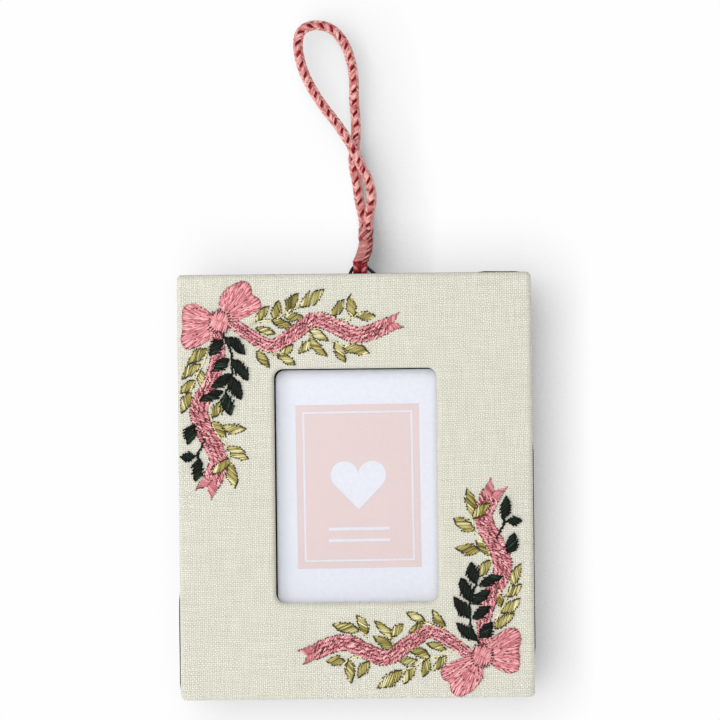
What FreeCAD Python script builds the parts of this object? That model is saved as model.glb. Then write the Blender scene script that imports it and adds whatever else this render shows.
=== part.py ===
"""Small fabric-covered photo frame with embroidered bow corners, hung from a braided cord loop.

Millimetres. The origin is where a hook bears, at the inside top of the cord loop.
+Z is up, +X is to the viewer's right and the front of the frame faces -Y.
"""
import FreeCAD, Part
import math
import os

V = FreeCAD.Vector

# frame outline and window
frame_w = 95.25
frame_h = 114.3
frame_corner_r = 1.4
window_w = 43.8
window_h = 63.0
window_corner_r = 2.5
window_x = 0.1
window_z = 0.2

# layers, from the back forward
back_gap = 2.3
cover_t = 0.4
back_board_t = 1.6
spacer_t = 0.9
window_card_t = 0.4
fabric_t = 0.5
front_board_t = 2.4
padding_t = 1.6

# wrapped cloth
outer_edge_r = 1.2
window_edge_r = 1.2
outer_hem = 9.0
window_hem = 5.0

# back unit; its cover stands proud at the top and the sides and is flush at the bottom
cover_overhang = 0.15
cover_corner_r = 1.4
board_inset = 0.4
slot_cut_margin = 3.0

# window card: how far its edge shows beside the cloth, and how far it hides on the other sides
card_lip_left = 0.45
card_lip_top = 0.35
card_hide = 0.4

# photo pocket
insert_w = 57.15
insert_h = 76.2
insert_t = 0.35
pocket_side_gap = 0.675
sheet_t = 0.3
sheet_side_gap = 0.2
sheet_top_gap = 0.4
pocket_gap = 0.1

# print on the insert
print_t = 0.05
print_gap = 0.01
panel_w = 33.4
panel_h = 44.2
panel_x = 0.7
panel_z = -0.1
panel_turn = 0.4
line_inset = 1.85
line_w = 0.5
heart_w = 15.0
heart_z = 3.0
rule_w = 16.5
rule_t = 0.8
rule_z = (-11.5, -14.6)

# hanging
hook_to_frame_top = 66.3
hook_to_frame_x = 9.5

# triangle ring, measured in its own plane from the centre of its top bend
wire_r = 0.45
ring_leg_angle = 36.0
ring_top_r = 2.6
ring_corner_r = 1.5
ring_drop = 5.6
ring_skew = 12.0
ring_centre_above_top = 0.1
ring_level_t = 2.1

# strap and rivet
strap_t = 0.35
strap_w = 6.0
strap_pinch = 2.1
strap_tail = 8.2
knuckle_clearance = 0.05
rivet_drop = 5.2
rivet_r = 0.9
rivet_hole_clearance = 0.05
rivet_head_r = 1.9
rivet_head_h = 0.6
rivet_flange_r = 1.5
rivet_to_insert_gap = 0.04

# cord
cord_r = 1.35
eye_x = 11.3
eye_strand_r = 1.0
eye_bend_r = 1.75
eye_strand_gap = 0.06
eye_above_top = 2.15
whipping_bottom_z = -63.0
whipping_top_z = -54.2

# stitched areas: heights above the cloth
knot_h = 1.0
loop_h = 0.7
leaf_h = 0.45
ribbon_h = 0.4
stitch_edge_r = 0.3
stitch_clear_h = 2.0
stem_w = 0.7
top_knot_in = (11.8, 12.45)
bottom_knot_in = (14.5, 11.25)

# worked out from the above
back_y = -back_gap
board_back_y = back_y - cover_t
board_front_y = board_back_y - back_board_t
card_back_y = board_front_y - spacer_t
hem_back_y = card_back_y - window_card_t
front_board_back_y = hem_back_y - fabric_t
padding_back_y = front_board_back_y - front_board_t
padding_front_y = padding_back_y - padding_t
front_y = padding_front_y - fabric_t

frame_x = hook_to_frame_x
frame_z = -(hook_to_frame_top + frame_h / 2)
cover_w = frame_w + 2 * cover_overhang
cover_h = frame_h + cover_overhang
cover_z = cover_overhang / 2
slot_w = insert_w + 2 * pocket_side_gap
top_knot = (top_knot_in[0] - frame_w / 2, frame_h / 2 - top_knot_in[1])
bottom_knot = (frame_w / 2 - bottom_knot_in[0], bottom_knot_in[1] - frame_h / 2)
board_w = frame_w - 2 * board_inset
board_h = frame_h - 2 * board_inset
pocket_floor_z = -insert_h / 2 - pocket_gap
rivet_flange_t = spacer_t - sheet_t - print_gap - print_t - insert_t - rivet_to_insert_gap

knuckle_r = wire_r + knuckle_clearance + strap_t
pivot_y = back_y + knuckle_r
ring_lean = math.degrees(math.asin(-pivot_y / (ring_drop + ring_level_t)))
bar_drop = ring_drop * math.cos(math.radians(ring_lean))
pivot_x = eye_x + bar_drop * math.sin(math.radians(ring_skew))
pivot_z = (-hook_to_frame_top + ring_centre_above_top
           - bar_drop * math.cos(math.radians(ring_skew)))

# cord route, from the top of the whipping up the front strand, round the loop and back down
cord_route = [
    (13.5, -1.4, whipping_top_z), (13.5, -1.4, -51.0), (14.8, -1.5, -46.4), (14.2, -1.5, -41.6),
    (11.7, -1.5, -36.6), (9.0, -1.5, -30.9), (5.4, -1.0, -25.3), (1.4, -0.3, -20.3),
    (-2.0, 0.0, -14.8), (-4.3, 0.0, -9.2), (-5.2, 0.0, -3.8), (-4.3, 0.0, 0.2),
    (-0.6, 0.0, 1.7), (3.8, 0.0, 0.9), (7.3, 0.0, -2.6), (9.4, 0.0, -8.0),
    (10.2, 0.0, -13.6), (10.0, 0.3, -19.3), (10.6, 0.9, -24.9), (10.4, 1.5, -30.2),
    (9.4, 1.6, -35.6), (10.7, 1.6, -41.2), (11.2, 1.5, -46.5), (12.4, 1.4, -51.2),
    (12.4, 1.4, whipping_top_z),
]

# whipping sections: height, centre x, half width, half depth
whipping_sections = [
    (whipping_top_z, 12.95, 2.1, 2.85),
    (-57.5, 12.98, 2.0, 2.65),
    (-60.2, 12.5, 2.1, 2.65),
    (whipping_bottom_z, eye_x, 2.2, 2.85),
]

# leaves of one corner, from the centre of its knot: base x, base z, tip x, tip z, width
olive_leaves = [
    (9.4, -0.2, 12.9, 3.8, 2.1), (14.2, 0.5, 15.6, 5.3, 2.4), (17.8, 2.6, 20.8, 7.2, 2.7),
    (21.3, 3.7, 27.8, 8.2, 3.0), (17.2, 1.0, 21.8, 1.2, 2.1), (13.7, 0.3, 19.3, -1.7, 2.1),
    (9.4, -1.8, 14.5, -3.5, 1.9), (30.1, 1.2, 33.1, 5.4, 2.4), (35.5, 0.6, 35.0, 6.8, 2.4),
    (36.6, 1.1, 41.4, 1.0, 2.4), (9.6, -8.0, 12.8, -12.4, 2.1), (15.0, -9.2, 19.8, -11.9, 2.1),
    (15.5, -9.4, 19.3, -6.5, 1.9), (23.9, -5.5, 20.9, -8.7, 2.4), (23.9, -4.7, 28.4, -9.6, 2.1),
    (23.6, -1.7, 28.7, -5.5, 2.4), (30.6, -6.1, 33.2, -11.2, 2.4), (32.7, -7.2, 39.7, -8.9, 2.7),
    (-3.6, -7.4, -9.0, -11.3, 2.4), (-5.5, -11.6, -10.6, -15.3, 2.4),
    (-7.2, -15.9, -11.0, -19.1, 2.4), (-8.5, -18.9, -10.9, -24.5, 2.4),
    (-5.5, -13.2, -5.0, -18.4, 2.4), (-2.7, -25.6, 0.0, -21.4, 2.7),
    (0.0, -28.3, 6.4, -29.0, 2.7), (-2.7, -27.0, 1.0, -31.0, 2.7), (1.5, -33.7, 6.9, -37.0, 3.0),
    (2.0, -37.8, 3.3, -44.8, 2.7),
]
olive_leaf_on_ribbon = (1.8, -37.0, -2.8, -40.9, 2.4)
olive_stems = [
    [(8.3, -0.8), (11.0, 0.0), (14.5, 0.3), (17.2, 2.1), (20.7, 3.7)],
    [(30.1, 0.9), (33.0, -0.2), (35.2, 0.6), (36.8, 1.6)],
    [(9.6, -7.8), (10.9, -7.5), (15.0, -9.2)],
    [(23.4, -1.5), (23.9, -5.5)],
    [(30.3, -5.6), (32.7, -7.2)],
    [(-3.6, -7.4), (-4.7, -10.8), (-6.0, -13.2), (-7.2, -15.9), (-8.5, -18.9)],
    [(-3.0, -25.4), (-2.2, -28.6), (-0.6, -31.3), (1.5, -33.7), (2.0, -37.5)],
]
green_leaves = [
    (0.2, -5.0, -3.0, -9.0, 3.0), (2.0, -10.1, -2.3, -13.3, 2.7), (2.3, -14.1, -2.6, -17.6, 2.7),
    (0.3, -18.7, -5.9, -21.3, 2.4), (1.3, -4.4, 6.4, -8.8, 2.7), (2.8, -10.4, 7.1, -15.8, 3.0),
    (2.5, -14.9, 5.2, -20.9, 3.2), (1.1, -19.5, 2.4, -25.1, 3.2), (-7.5, -27.7, -9.2, -32.8, 3.2),
    (-7.6, -36.3, -11.2, -36.3, 2.4), (-6.3, -36.9, -7.2, -42.8, 2.7),
]
green_stems = [
    [(0.5, -2.8), (1.3, -5.3), (2.6, -8.0), (2.8, -10.6), (2.8, -14.9), (1.1, -19.2)],
    [(-4.6, -31.8), (-6.6, -35.5), (-7.9, -36.3)],
    [(-6.6, -35.5), (-6.3, -37.1)],
]

# bow of one corner, from the centre of its knot
left_loop = [
    (-2.4, -0.4), (-3.1, 2.3), (-5.9, 4.2), (-8.3, 4.6), (-10.1, 3.7), (-10.4, 0.5),
    (-10.3, -1.8), (-10.8, -4.9), (-10.0, -6.9), (-8.4, -7.4), (-4.9, -6.0), (-2.3, -3.6),
]
right_loop = [
    (1.4, 1.7), (-0.2, 3.3), (0.3, 6.8), (2.8, 9.5), (6.0, 10.8), (8.1, 9.6), (8.6, 7.2),
    (10.4, 5.9), (10.7, 3.5), (7.0, 1.4), (3.5, 0.3),
]
knot_outline = [
    (-3.1, -0.1), (-2.3, 2.1), (0.0, 2.8), (1.9, 1.8), (2.3, -0.4), (1.6, -2.5), (-0.4, -3.0),
    (-2.3, -2.2),
]
ribbon_across = [
    (2.2, 0.4), (6.4, -2.9), (11.8, -6.3), (14.4, -6.6), (19.8, -3.3), (25.3, 0.3),
    (30.6, -1.5), (36.0, -4.0), (41.3, -3.0), (46.7, -0.6),
]
ribbon_across_w = [2.4, 3.0, 3.4, 3.5, 3.7, 3.9, 4.0, 4.1, 4.2, 3.9]
ribbon_across_tips = [(47.8, 1.9), (49.1, -2.0)]
ribbon_down = [
    (-1.8, -2.6), (-0.8, -6.3), (-1.0, -10.4), (-2.8, -16.2), (-5.3, -20.8), (-6.2, -24.6),
    (-4.6, -29.4), (-1.7, -34.8), (-1.0, -38.6), (-2.6, -42.2), (-4.2, -44.4),
]
ribbon_down_w = [2.8, 3.4, 3.5, 3.8, 4.4, 4.8, 4.6, 4.6, 4.7, 5.4, 4.6]
ribbon_down_tips = [(-7.5, -45.3), (-3.0, -47.9)]


def at(point, y):
    """A plan point (x, z) at depth y."""
    return V(point[0], y, point[1])


def rounded_plate(width, height, corner_r, y_back, y_front, x=0.0, z=0.0):
    """Flat plate with rounded corners in the XZ plane, from y_back forward to y_front."""
    body = Part.makeBox(width, y_back - y_front, height, V(x - width / 2, y_front, z - height / 2))
    upright = [e for e in body.Edges if abs(e.tangentAt(e.FirstParameter).y) > 0.99]
    return body.makeFillet(corner_r, upright) if corner_r > 0 else body


def front_edges(body, y_front, inner):
    """Edges on the front plane: those of the window if inner, else those of the outer outline."""
    found = []
    for edge in body.Edges:
        box = edge.BoundBox
        if box.YMax > y_front + 0.001:
            continue
        middle = box.Center
        near_window = (abs(middle.x - window_x) < window_w / 2 + 4
                       and abs(middle.z - window_z) < window_h / 2 + 4)
        if near_window == inner:
            found.append(edge)
    return found


def window_ring(inset, y_back, y_front, outer_fillet=0.0, window_fillet=0.0):
    """The frame's ring of material, inset on every side, with its front edges rounded."""
    ring = rounded_plate(frame_w - 2 * inset, frame_h - 2 * inset, frame_corner_r - inset,
                         y_back, y_front)
    hole = rounded_plate(window_w + 2 * inset, window_h + 2 * inset, window_corner_r + inset,
                         y_back + 1, y_front - 1, window_x, window_z)
    ring = ring.cut(hole)
    if outer_fillet > 0:
        ring = ring.makeFillet(outer_fillet, front_edges(ring, y_front, False))
        ring = ring.makeFillet(window_fillet, front_edges(ring, y_front, True))
    return ring


def make_front_board():
    return window_ring(fabric_t, front_board_back_y, padding_back_y)


def make_front_padding():
    return window_ring(fabric_t, padding_back_y, padding_front_y,
                       outer_edge_r - fabric_t, window_edge_r - fabric_t)


def make_front_fabric():
    """Cloth over the front, round both edges, with its hems turned in behind the front board."""
    cloth = window_ring(0.0, hem_back_y, front_y, outer_edge_r, window_edge_r)
    bare = rounded_plate(frame_w - 2 * outer_hem, frame_h - 2 * outer_hem, 0.0,
                         hem_back_y + 1, front_board_back_y)
    hem = rounded_plate(window_w + 2 * window_hem, window_h + 2 * window_hem, 0.0,
                        hem_back_y + 2, front_board_back_y - 1, window_x, window_z)
    return cloth.cut([make_front_board(), make_front_padding(), bare.cut(hem)])


def make_window_card():
    left = window_x - window_w / 2 + card_lip_left
    right = window_x + window_w / 2 + card_hide
    bottom = window_z - window_h / 2 - card_hide
    top = window_z + window_h / 2 - card_lip_top
    card = rounded_plate(board_w, board_h, 0.0, card_back_y, hem_back_y)
    hole = rounded_plate(right - left, top - bottom, window_corner_r,
                         card_back_y + 1, hem_back_y - 1, (left + right) / 2, (bottom + top) / 2)
    return card.cut(hole)


def make_spacers():
    side_w = (board_w - slot_w) / 2
    side_x = (slot_w + side_w) / 2
    foot_h = board_h / 2 + pocket_floor_z
    foot_z = pocket_floor_z - foot_h / 2
    depth = (board_front_y, card_back_y)
    return {
        "pocket_spacer_left": rounded_plate(side_w, board_h, 0.0, *depth, x=-side_x),
        "pocket_spacer_right": rounded_plate(side_w, board_h, 0.0, *depth, x=side_x),
        "pocket_spacer_bottom": rounded_plate(slot_w, foot_h, 0.0, *depth, z=foot_z),
    }


def make_clear_sheet():
    top = insert_h / 2 + sheet_top_gap
    height = top - pocket_floor_z
    return rounded_plate(slot_w - 2 * sheet_side_gap, height, 0.0, card_back_y + sheet_t,
                         card_back_y, z=(top + pocket_floor_z) / 2)


def insert_front_y():
    return card_back_y + sheet_t + print_gap + print_t


def make_insert_card():
    return rounded_plate(insert_w, insert_h, 0.6, insert_front_y() + insert_t, insert_front_y())


def heart_face(y):
    """Plain heart: two round shoulders, and straight sides that meet at the foot."""
    r = heart_w / 4
    foot = V(0, y, -heart_w * 0.62)
    slope = math.radians(38)
    right = V(r + r * math.cos(slope), y, -r * math.sin(slope))
    left = V(-right.x, y, right.z)
    edges = [
        Part.LineSegment(foot, right).toShape(),
        Part.Arc(right, V(r + r * math.cos(math.radians(60)), y, r * math.sin(math.radians(60))),
                 V(0, y, 0)).toShape(),
        Part.Arc(V(0, y, 0), V(-r - r * math.cos(math.radians(60)), y,
                               r * math.sin(math.radians(60))), left).toShape(),
        Part.LineSegment(left, foot).toShape(),
    ]
    return Part.Face(Part.Wire(edges))


def make_insert_print():
    """Printed field with an unprinted border line, heart and two rules, so the card shows there."""
    y_front = insert_front_y() - print_t
    y_back = insert_front_y()
    panel = rounded_plate(panel_w, panel_h, 0.0, y_back, y_front)
    outer = rounded_plate(panel_w - 2 * line_inset, panel_h - 2 * line_inset, 0.0,
                          y_back + 1, y_front - 1)
    inner_inset = line_inset + line_w
    inner = rounded_plate(panel_w - 2 * inner_inset, panel_h - 2 * inner_inset, 0.0,
                          y_back + 2, y_front - 2)
    heart = heart_face(y_front - 1).extrude(V(0, print_t + 2, 0))
    heart.translate(V(0, 0, heart_z))
    rules = [rounded_plate(rule_w, rule_t, 0.0, y_back + 1, y_front - 1, z=z) for z in rule_z]
    panel = panel.cut([outer.cut(inner), heart] + rules)
    panel.rotate(V(0, 0, 0), V(0, 1, 0), -panel_turn)
    panel.translate(V(panel_x, 0, panel_z))
    return panel


def rivet_place():
    """Where the rivet's axis meets the back, in the frame's own centred coordinates."""
    skew = math.radians(ring_skew)
    return (pivot_x + rivet_drop * math.sin(skew) - frame_x,
            pivot_z - rivet_drop * math.cos(skew) - frame_z)


def rivet_hole():
    x, z = rivet_place()
    return Part.makeCylinder(rivet_r + rivet_hole_clearance, back_board_t + cover_t + 2,
                             V(x, board_front_y - 1, z), V(0, 1, 0))


def make_back_board():
    return rounded_plate(board_w, board_h, 0.0, board_back_y, board_front_y).cut(rivet_hole())


def make_back_cover():
    """Flocked cover over the back and round its edges, with the photo slot in its top edge."""
    tray = rounded_plate(cover_w, cover_h, cover_corner_r, back_y, hem_back_y, z=cover_z)
    rim = [e for e in tray.Edges if e.BoundBox.YMin > back_y - 0.001]
    tray = tray.makeFillet(cover_t, rim)
    hollow = rounded_plate(cover_w - 2 * cover_t, cover_h - 2 * cover_t, 0.0,
                           board_back_y, hem_back_y - 1, z=cover_z)
    slot = rounded_plate(slot_w, 2 * slot_cut_margin, 0.0, board_front_y, card_back_y,
                         z=frame_h / 2)
    return tray.cut([hollow, slot, rivet_hole()])


def on_pivot(shape):
    """Move a piece made round the ring's bar to its place, turned by the ring's skew."""
    shape.rotate(V(0, 0, 0), V(0, 1, 0), -ring_skew)
    shape.translate(V(pivot_x, pivot_y, pivot_z))
    return shape


def make_ring_strap():
    """Sheet strip folded round the bar, pinched together below it and riveted to the back."""
    low = -strap_tail
    inner_r = knuckle_r - strap_t
    back = 2 * strap_t - knuckle_r
    pinch_r = math.hypot(back, strap_pinch)
    touch = math.atan2(-strap_pinch, back) + math.acos(knuckle_r / pinch_r)
    out = V(0, math.cos(touch), math.sin(touch))
    outer = [
        Part.LineSegment(V(0, -knuckle_r, low), V(0, -knuckle_r, 0)).toShape(),
        Part.Arc(V(0, -knuckle_r, 0), V(0, 0, knuckle_r), out * knuckle_r).toShape(),
        Part.LineSegment(out * knuckle_r, V(0, back, -strap_pinch)).toShape(),
        Part.LineSegment(V(0, back, -strap_pinch), V(0, back, low)).toShape(),
        Part.LineSegment(V(0, back, low), V(0, -knuckle_r, low)).toShape(),
    ]
    slope = V(0, back, -strap_pinch) - out * knuckle_r
    tip = out * inner_r + slope * ((-inner_r - out.y * inner_r) / slope.y)
    inner = [
        Part.LineSegment(tip, V(0, -inner_r, 0)).toShape(),
        Part.Arc(V(0, -inner_r, 0), V(0, 0, inner_r), out * inner_r).toShape(),
        Part.LineSegment(out * inner_r, tip).toShape(),
    ]
    along = V(strap_w, 0, 0)
    strap = Part.Face(Part.Wire(outer)).extrude(along).cut(
        Part.Face(Part.Wire(inner)).extrude(along))
    strap.translate(V(-strap_w / 2, 0, 0))
    tail_r = strap_w / 2
    plan = rounded_plate(strap_w, strap_tail + knuckle_r, 0.0, 3, -3,
                         z=(knuckle_r - strap_tail) / 2)
    foot = [e for e in plan.Edges
            if abs(e.tangentAt(e.FirstParameter).y) > 0.99 and e.BoundBox.ZMax < 0]
    plan = plan.makeFillet(tail_r - 0.05, foot)
    hole = Part.makeCylinder(rivet_r + rivet_hole_clearance, 6, V(0, -3, -rivet_drop), V(0, 1, 0))
    return on_pivot(strap.common(plan).cut(hole))


def make_strap_rivet():
    """Domed head outside the strap, shank through strap and back, clinched flange inside."""
    head_y = 2 * strap_t - knuckle_r
    flange_y = board_front_y - pivot_y
    dome_r = (rivet_head_r ** 2 + rivet_head_h ** 2) / (2 * rivet_head_h)
    crown = Part.makeSphere(dome_r, V(0, head_y + rivet_head_h - dome_r, 0)).common(
        Part.makeCylinder(rivet_head_r, rivet_head_h, V(0, head_y, 0), V(0, 1, 0)))
    shank = Part.makeCylinder(rivet_r, head_y - flange_y, V(0, flange_y, 0), V(0, 1, 0))
    flange = Part.makeCylinder(rivet_flange_r, rivet_flange_t,
                               V(0, flange_y - rivet_flange_t, 0), V(0, 1, 0))
    rivet = crown.multiFuse([shank, flange]).removeSplitter()
    rivet.translate(V(0, 0, -rivet_drop))
    return on_pivot(rivet)


def rounded_loop(corners, radii):
    """Closed wire in the XZ plane that starts mid-way along its first side, corners rounded."""
    points = [V(x, 0, z) for x, z in corners]
    count = len(points)
    start = (points[0] + points[1]) * 0.5
    edges = []
    last = start
    for i in range(count):
        corner = points[(i + 1) % count]
        after = points[(i + 2) % count]
        before = points[i]
        into = (corner - before).normalize()
        out = (after - corner).normalize()
        turn = into.getAngle(out)
        radius = radii[(i + 1) % count]
        reach = radius * math.tan(turn / 2)
        a = corner - into * reach
        b = corner + out * reach
        inward = (out - into).normalize()
        middle = corner + inward * (radius / math.cos(turn / 2) - radius)
        edges.append(Part.LineSegment(last, a).toShape())
        edges.append(Part.Arc(a, middle, b).toShape())
        last = b
    edges.append(Part.LineSegment(last, start).toShape())
    return Part.Wire(edges)


def make_triangle_ring():
    leg = math.radians(ring_leg_angle)
    apex = ring_drop + ring_top_r / math.sin(leg)
    half = apex * math.tan(leg)
    path = rounded_loop([(-half, 0), (half, 0), (0, apex)],
                        [ring_corner_r, ring_corner_r, ring_top_r])
    section = Part.Wire(Part.makeCircle(wire_r, V(0, 0, 0), V(1, 0, 0)))
    ring = path.makePipeShell([section], True, False)
    ring.rotate(V(0, 0, 0), V(1, 0, 0), -ring_lean)
    return on_pivot(ring)


def make_cord_eye():
    """Two strands side by side, each bent under the ring's top and back up into the whipping."""
    centre_z = -hook_to_frame_top + eye_above_top
    strands = []
    for side in (-1, 1):
        x = eye_x + side * (eye_strand_r + eye_strand_gap / 2)
        path = Part.Wire([
            Part.LineSegment(V(x, -eye_bend_r, whipping_bottom_z),
                             V(x, -eye_bend_r, centre_z)).toShape(),
            Part.Arc(V(x, -eye_bend_r, centre_z), V(x, 0, centre_z - eye_bend_r),
                     V(x, eye_bend_r, centre_z)).toShape(),
            Part.LineSegment(V(x, eye_bend_r, centre_z),
                             V(x, eye_bend_r, whipping_bottom_z)).toShape(),
        ])
        section = Part.Wire(Part.makeCircle(eye_strand_r, V(x, -eye_bend_r, whipping_bottom_z),
                                            V(0, 0, -1)))
        strands.append(path.makePipeShell([section], True, False))
    return Part.makeCompound(strands)


def stadium(x, z, half_w, half_d):
    """Horizontal section of the whipping: straight sides and round front and back."""
    flat = half_d - half_w
    return Part.Wire([
        Part.LineSegment(V(x + half_w, -flat, z), V(x + half_w, flat, z)).toShape(),
        Part.Arc(V(x + half_w, flat, z), V(x, half_d, z), V(x - half_w, flat, z)).toShape(),
        Part.LineSegment(V(x - half_w, flat, z), V(x - half_w, -flat, z)).toShape(),
        Part.Arc(V(x - half_w, -flat, z), V(x, -half_d, z), V(x + half_w, -flat, z)).toShape(),
    ])


def make_cord_whipping():
    sections = [stadium(x, z, half_w, half_d) for z, x, half_w, half_d in whipping_sections]
    return Part.makeLoft(sections, True, False)


def make_hanging_cord():
    """Tube along the route: straight runs joined by the largest tangent arcs that they allow."""
    points = [V(*p) for p in cord_route]
    edges = []
    radii = []
    last = points[0]
    for before, corner, after in zip(points, points[1:], points[2:]):
        into = corner - before
        out = after - corner
        reach = 0.45 * min(into.Length, out.Length)
        turn = into.getAngle(out)
        into.normalize()
        out.normalize()
        radius = reach / math.tan(turn / 2)
        a = corner - into * reach
        b = corner + out * reach
        inward = (out - into).normalize()
        middle = corner + inward * (radius / math.cos(turn / 2) - radius)
        edges.append(Part.LineSegment(last, a).toShape())
        edges.append(Part.Arc(a, middle, b).toShape())
        radii.append(radius)
        last = b
    edges.append(Part.LineSegment(last, points[-1]).toShape())
    path = Part.Wire(edges)
    section = Part.Wire(Part.makeCircle(cord_r, points[0], V(0, 0, 1)))
    tube = path.makePipeShell([section], True, False)
    print("cord length %.1f mm, arc radii %s" % (path.Length, [round(r, 1) for r in radii]))
    print("cord volume %.2f, section times length %.2f"
          % (tube.Volume, math.pi * cord_r ** 2 * path.Length))
    return tube


def spline_edge(points, y, closed=False):
    if len(points) == 2:
        return Part.LineSegment(at(points[0], y), at(points[1], y)).toShape()
    curve = Part.BSplineCurve()
    curve.interpolate([at(p, y) for p in points], PeriodicFlag=closed)
    return curve.toShape()


def column(face):
    """Stitched area raised well above every other, for cutting; trimmed() gives its own height."""
    return face.extrude(V(0, -stitch_clear_h, 0))


def trimmed(shape, height):
    return shape.common(Part.makeBox(frame_w * 2, height, frame_h * 2,
                                     V(-frame_w, front_y - height, -frame_h)))


def outline_face(outline):
    return Part.Face(Part.Wire([spline_edge(outline, front_y, True)]))


def pad(face, height):
    """Thick stitched area with a rounded top edge."""
    raised = face.extrude(V(0, -height, 0))
    top = [e for e in raised.Edges if e.BoundBox.YMax < front_y - height + 0.001]
    return raised.makeFillet(stitch_edge_r, top)


def band(points, widths, tips=None):
    """Strip of stitches along a smooth line, with a swallowtail end where tips are given."""
    sides = ([], [])
    for i, (x, z) in enumerate(points):
        before = points[max(i - 1, 0)]
        after = points[min(i + 1, len(points) - 1)]
        run = math.hypot(after[0] - before[0], after[1] - before[1])
        nx = -(after[1] - before[1]) / run
        nz = (after[0] - before[0]) / run
        if tips and i == len(points) - 1:
            continue
        sides[0].append((x + nx * widths[i] / 2, z + nz * widths[i] / 2))
        sides[1].append((x - nx * widths[i] / 2, z - nz * widths[i] / 2))
    if tips:
        sides[0].append(tips[0] if turn_side(points, tips[0]) > 0 else tips[1])
        sides[1].append(tips[1] if turn_side(points, tips[0]) > 0 else tips[0])
        end = [sides[0][-1], points[-1], sides[1][-1]]
    else:
        end = [sides[0][-1], sides[1][-1]]
    edges = [spline_edge(sides[0], front_y)]
    for a, b in zip(end, end[1:]):
        edges.append(Part.LineSegment(at(a, front_y), at(b, front_y)).toShape())
    edges.append(spline_edge(sides[1][::-1], front_y))
    edges.append(Part.LineSegment(at(sides[1][0], front_y), at(sides[0][0], front_y)).toShape())
    return column(Part.Face(Part.Wire(edges)))


def turn_side(points, tip):
    """Positive if the tip lies to the left of the line's last stretch."""
    (ax, az), (bx, bz) = points[-2:]
    return (bx - ax) * (tip[1] - az) - (bz - az) * (tip[0] - ax)


def leaf(base_x, base_z, tip_x, tip_z, width):
    """Pointed leaf: two arcs that meet at the base and at the tip."""
    base = at((base_x, base_z), front_y)
    tip = at((tip_x, tip_z), front_y)
    along = (tip - base).normalize()
    across = V(-along.z, 0, along.x) * (width / 2)
    middle = (base + tip) * 0.5
    face = Part.Face(Part.Wire([Part.Arc(base, middle + across, tip).toShape(),
                                Part.Arc(tip, middle - across, base).toShape()]))
    return column(face)


def sprig(leaves, stems):
    """Leaves and the stems that they grow from, stitched as one area."""
    pieces = [leaf(*entry) for entry in leaves]
    pieces += [band(line, [stem_w] * len(line)) for line in stems]
    return pieces[0].multiFuse(pieces[1:]).removeSplitter()


def make_corner():
    """Embroidery of one corner, round its knot; what lies under a piece is cut away by it."""
    knot = outline_face(knot_outline)
    loops = [outline_face(left_loop), outline_face(right_loop)]
    bow = [column(face) for face in [knot] + loops]
    green = sprig(green_leaves, green_stems).cut(bow)
    over_leaf = leaf(*olive_leaf_on_ribbon)
    ribbons = [band(ribbon_across, ribbon_across_w, ribbon_across_tips),
               band(ribbon_down, ribbon_down_w, ribbon_down_tips)]
    ribbons = [ribbon.cut(bow + [green, over_leaf]) for ribbon in ribbons]
    olive = sprig(olive_leaves, olive_stems).cut(bow + [green, over_leaf] + ribbons)
    return {
        "bow_knot": pad(knot, knot_h),
        "bow_loops": Part.makeCompound([pad(face, loop_h).cut(bow[0]) for face in loops]),
        "ribbon_tails": trimmed(Part.makeCompound(ribbons), ribbon_h),
        "olive_sprays": trimmed(Part.makeCompound(olive.Solids + [over_leaf]), leaf_h),
        "green_sprig": trimmed(green, leaf_h),
    }


def place_corner(shape, knot, turned):
    placed = shape.copy()
    if turned:
        placed.rotate(V(0, 0, 0), V(0, 1, 0), 180)
    placed.translate(V(knot[0], 0, knot[1]))
    return placed


def build():
    framed = {
        "front_board": make_front_board(),
        "front_padding": make_front_padding(),
        "front_fabric": make_front_fabric(),
        "window_card": make_window_card(),
        "clear_sheet": make_clear_sheet(),
        "insert_card": make_insert_card(),
        "insert_print": make_insert_print(),
        "back_board": make_back_board(),
        "back_cover": make_back_cover(),
    }
    framed.update(make_spacers())
    corner = make_corner()
    for name, shape in corner.items():
        framed["top_" + name] = place_corner(shape, top_knot, False)
        framed["bottom_" + name] = place_corner(shape, bottom_knot, True)
    for shape in framed.values():
        shape.translate(V(frame_x, 0, frame_z))
    hung = {
        "ring_strap": make_ring_strap(),
        "strap_rivet": make_strap_rivet(),
        "triangle_ring": make_triangle_ring(),
        "cord_eye": make_cord_eye(),
        "cord_whipping": make_cord_whipping(),
        "hanging_cord": make_hanging_cord(),
    }
    return {**framed, **hung}


os.makedirs("parts", exist_ok=True)
for node, shape in build().items():
    shape.exportStep("parts/%s.step" % node)
    print("%s: %d solids, %.1f mm3, valid %s"
          % (node, len(shape.Solids), shape.Volume, shape.isValid()))
print("ring pivot %.3f, %.3f, %.3f, lean %.2f degrees" % (pivot_x, pivot_y, pivot_z, ring_lean))
print("front face y %.2f, frame centre %.2f, %.2f" % (front_y, frame_x, frame_z))
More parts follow.
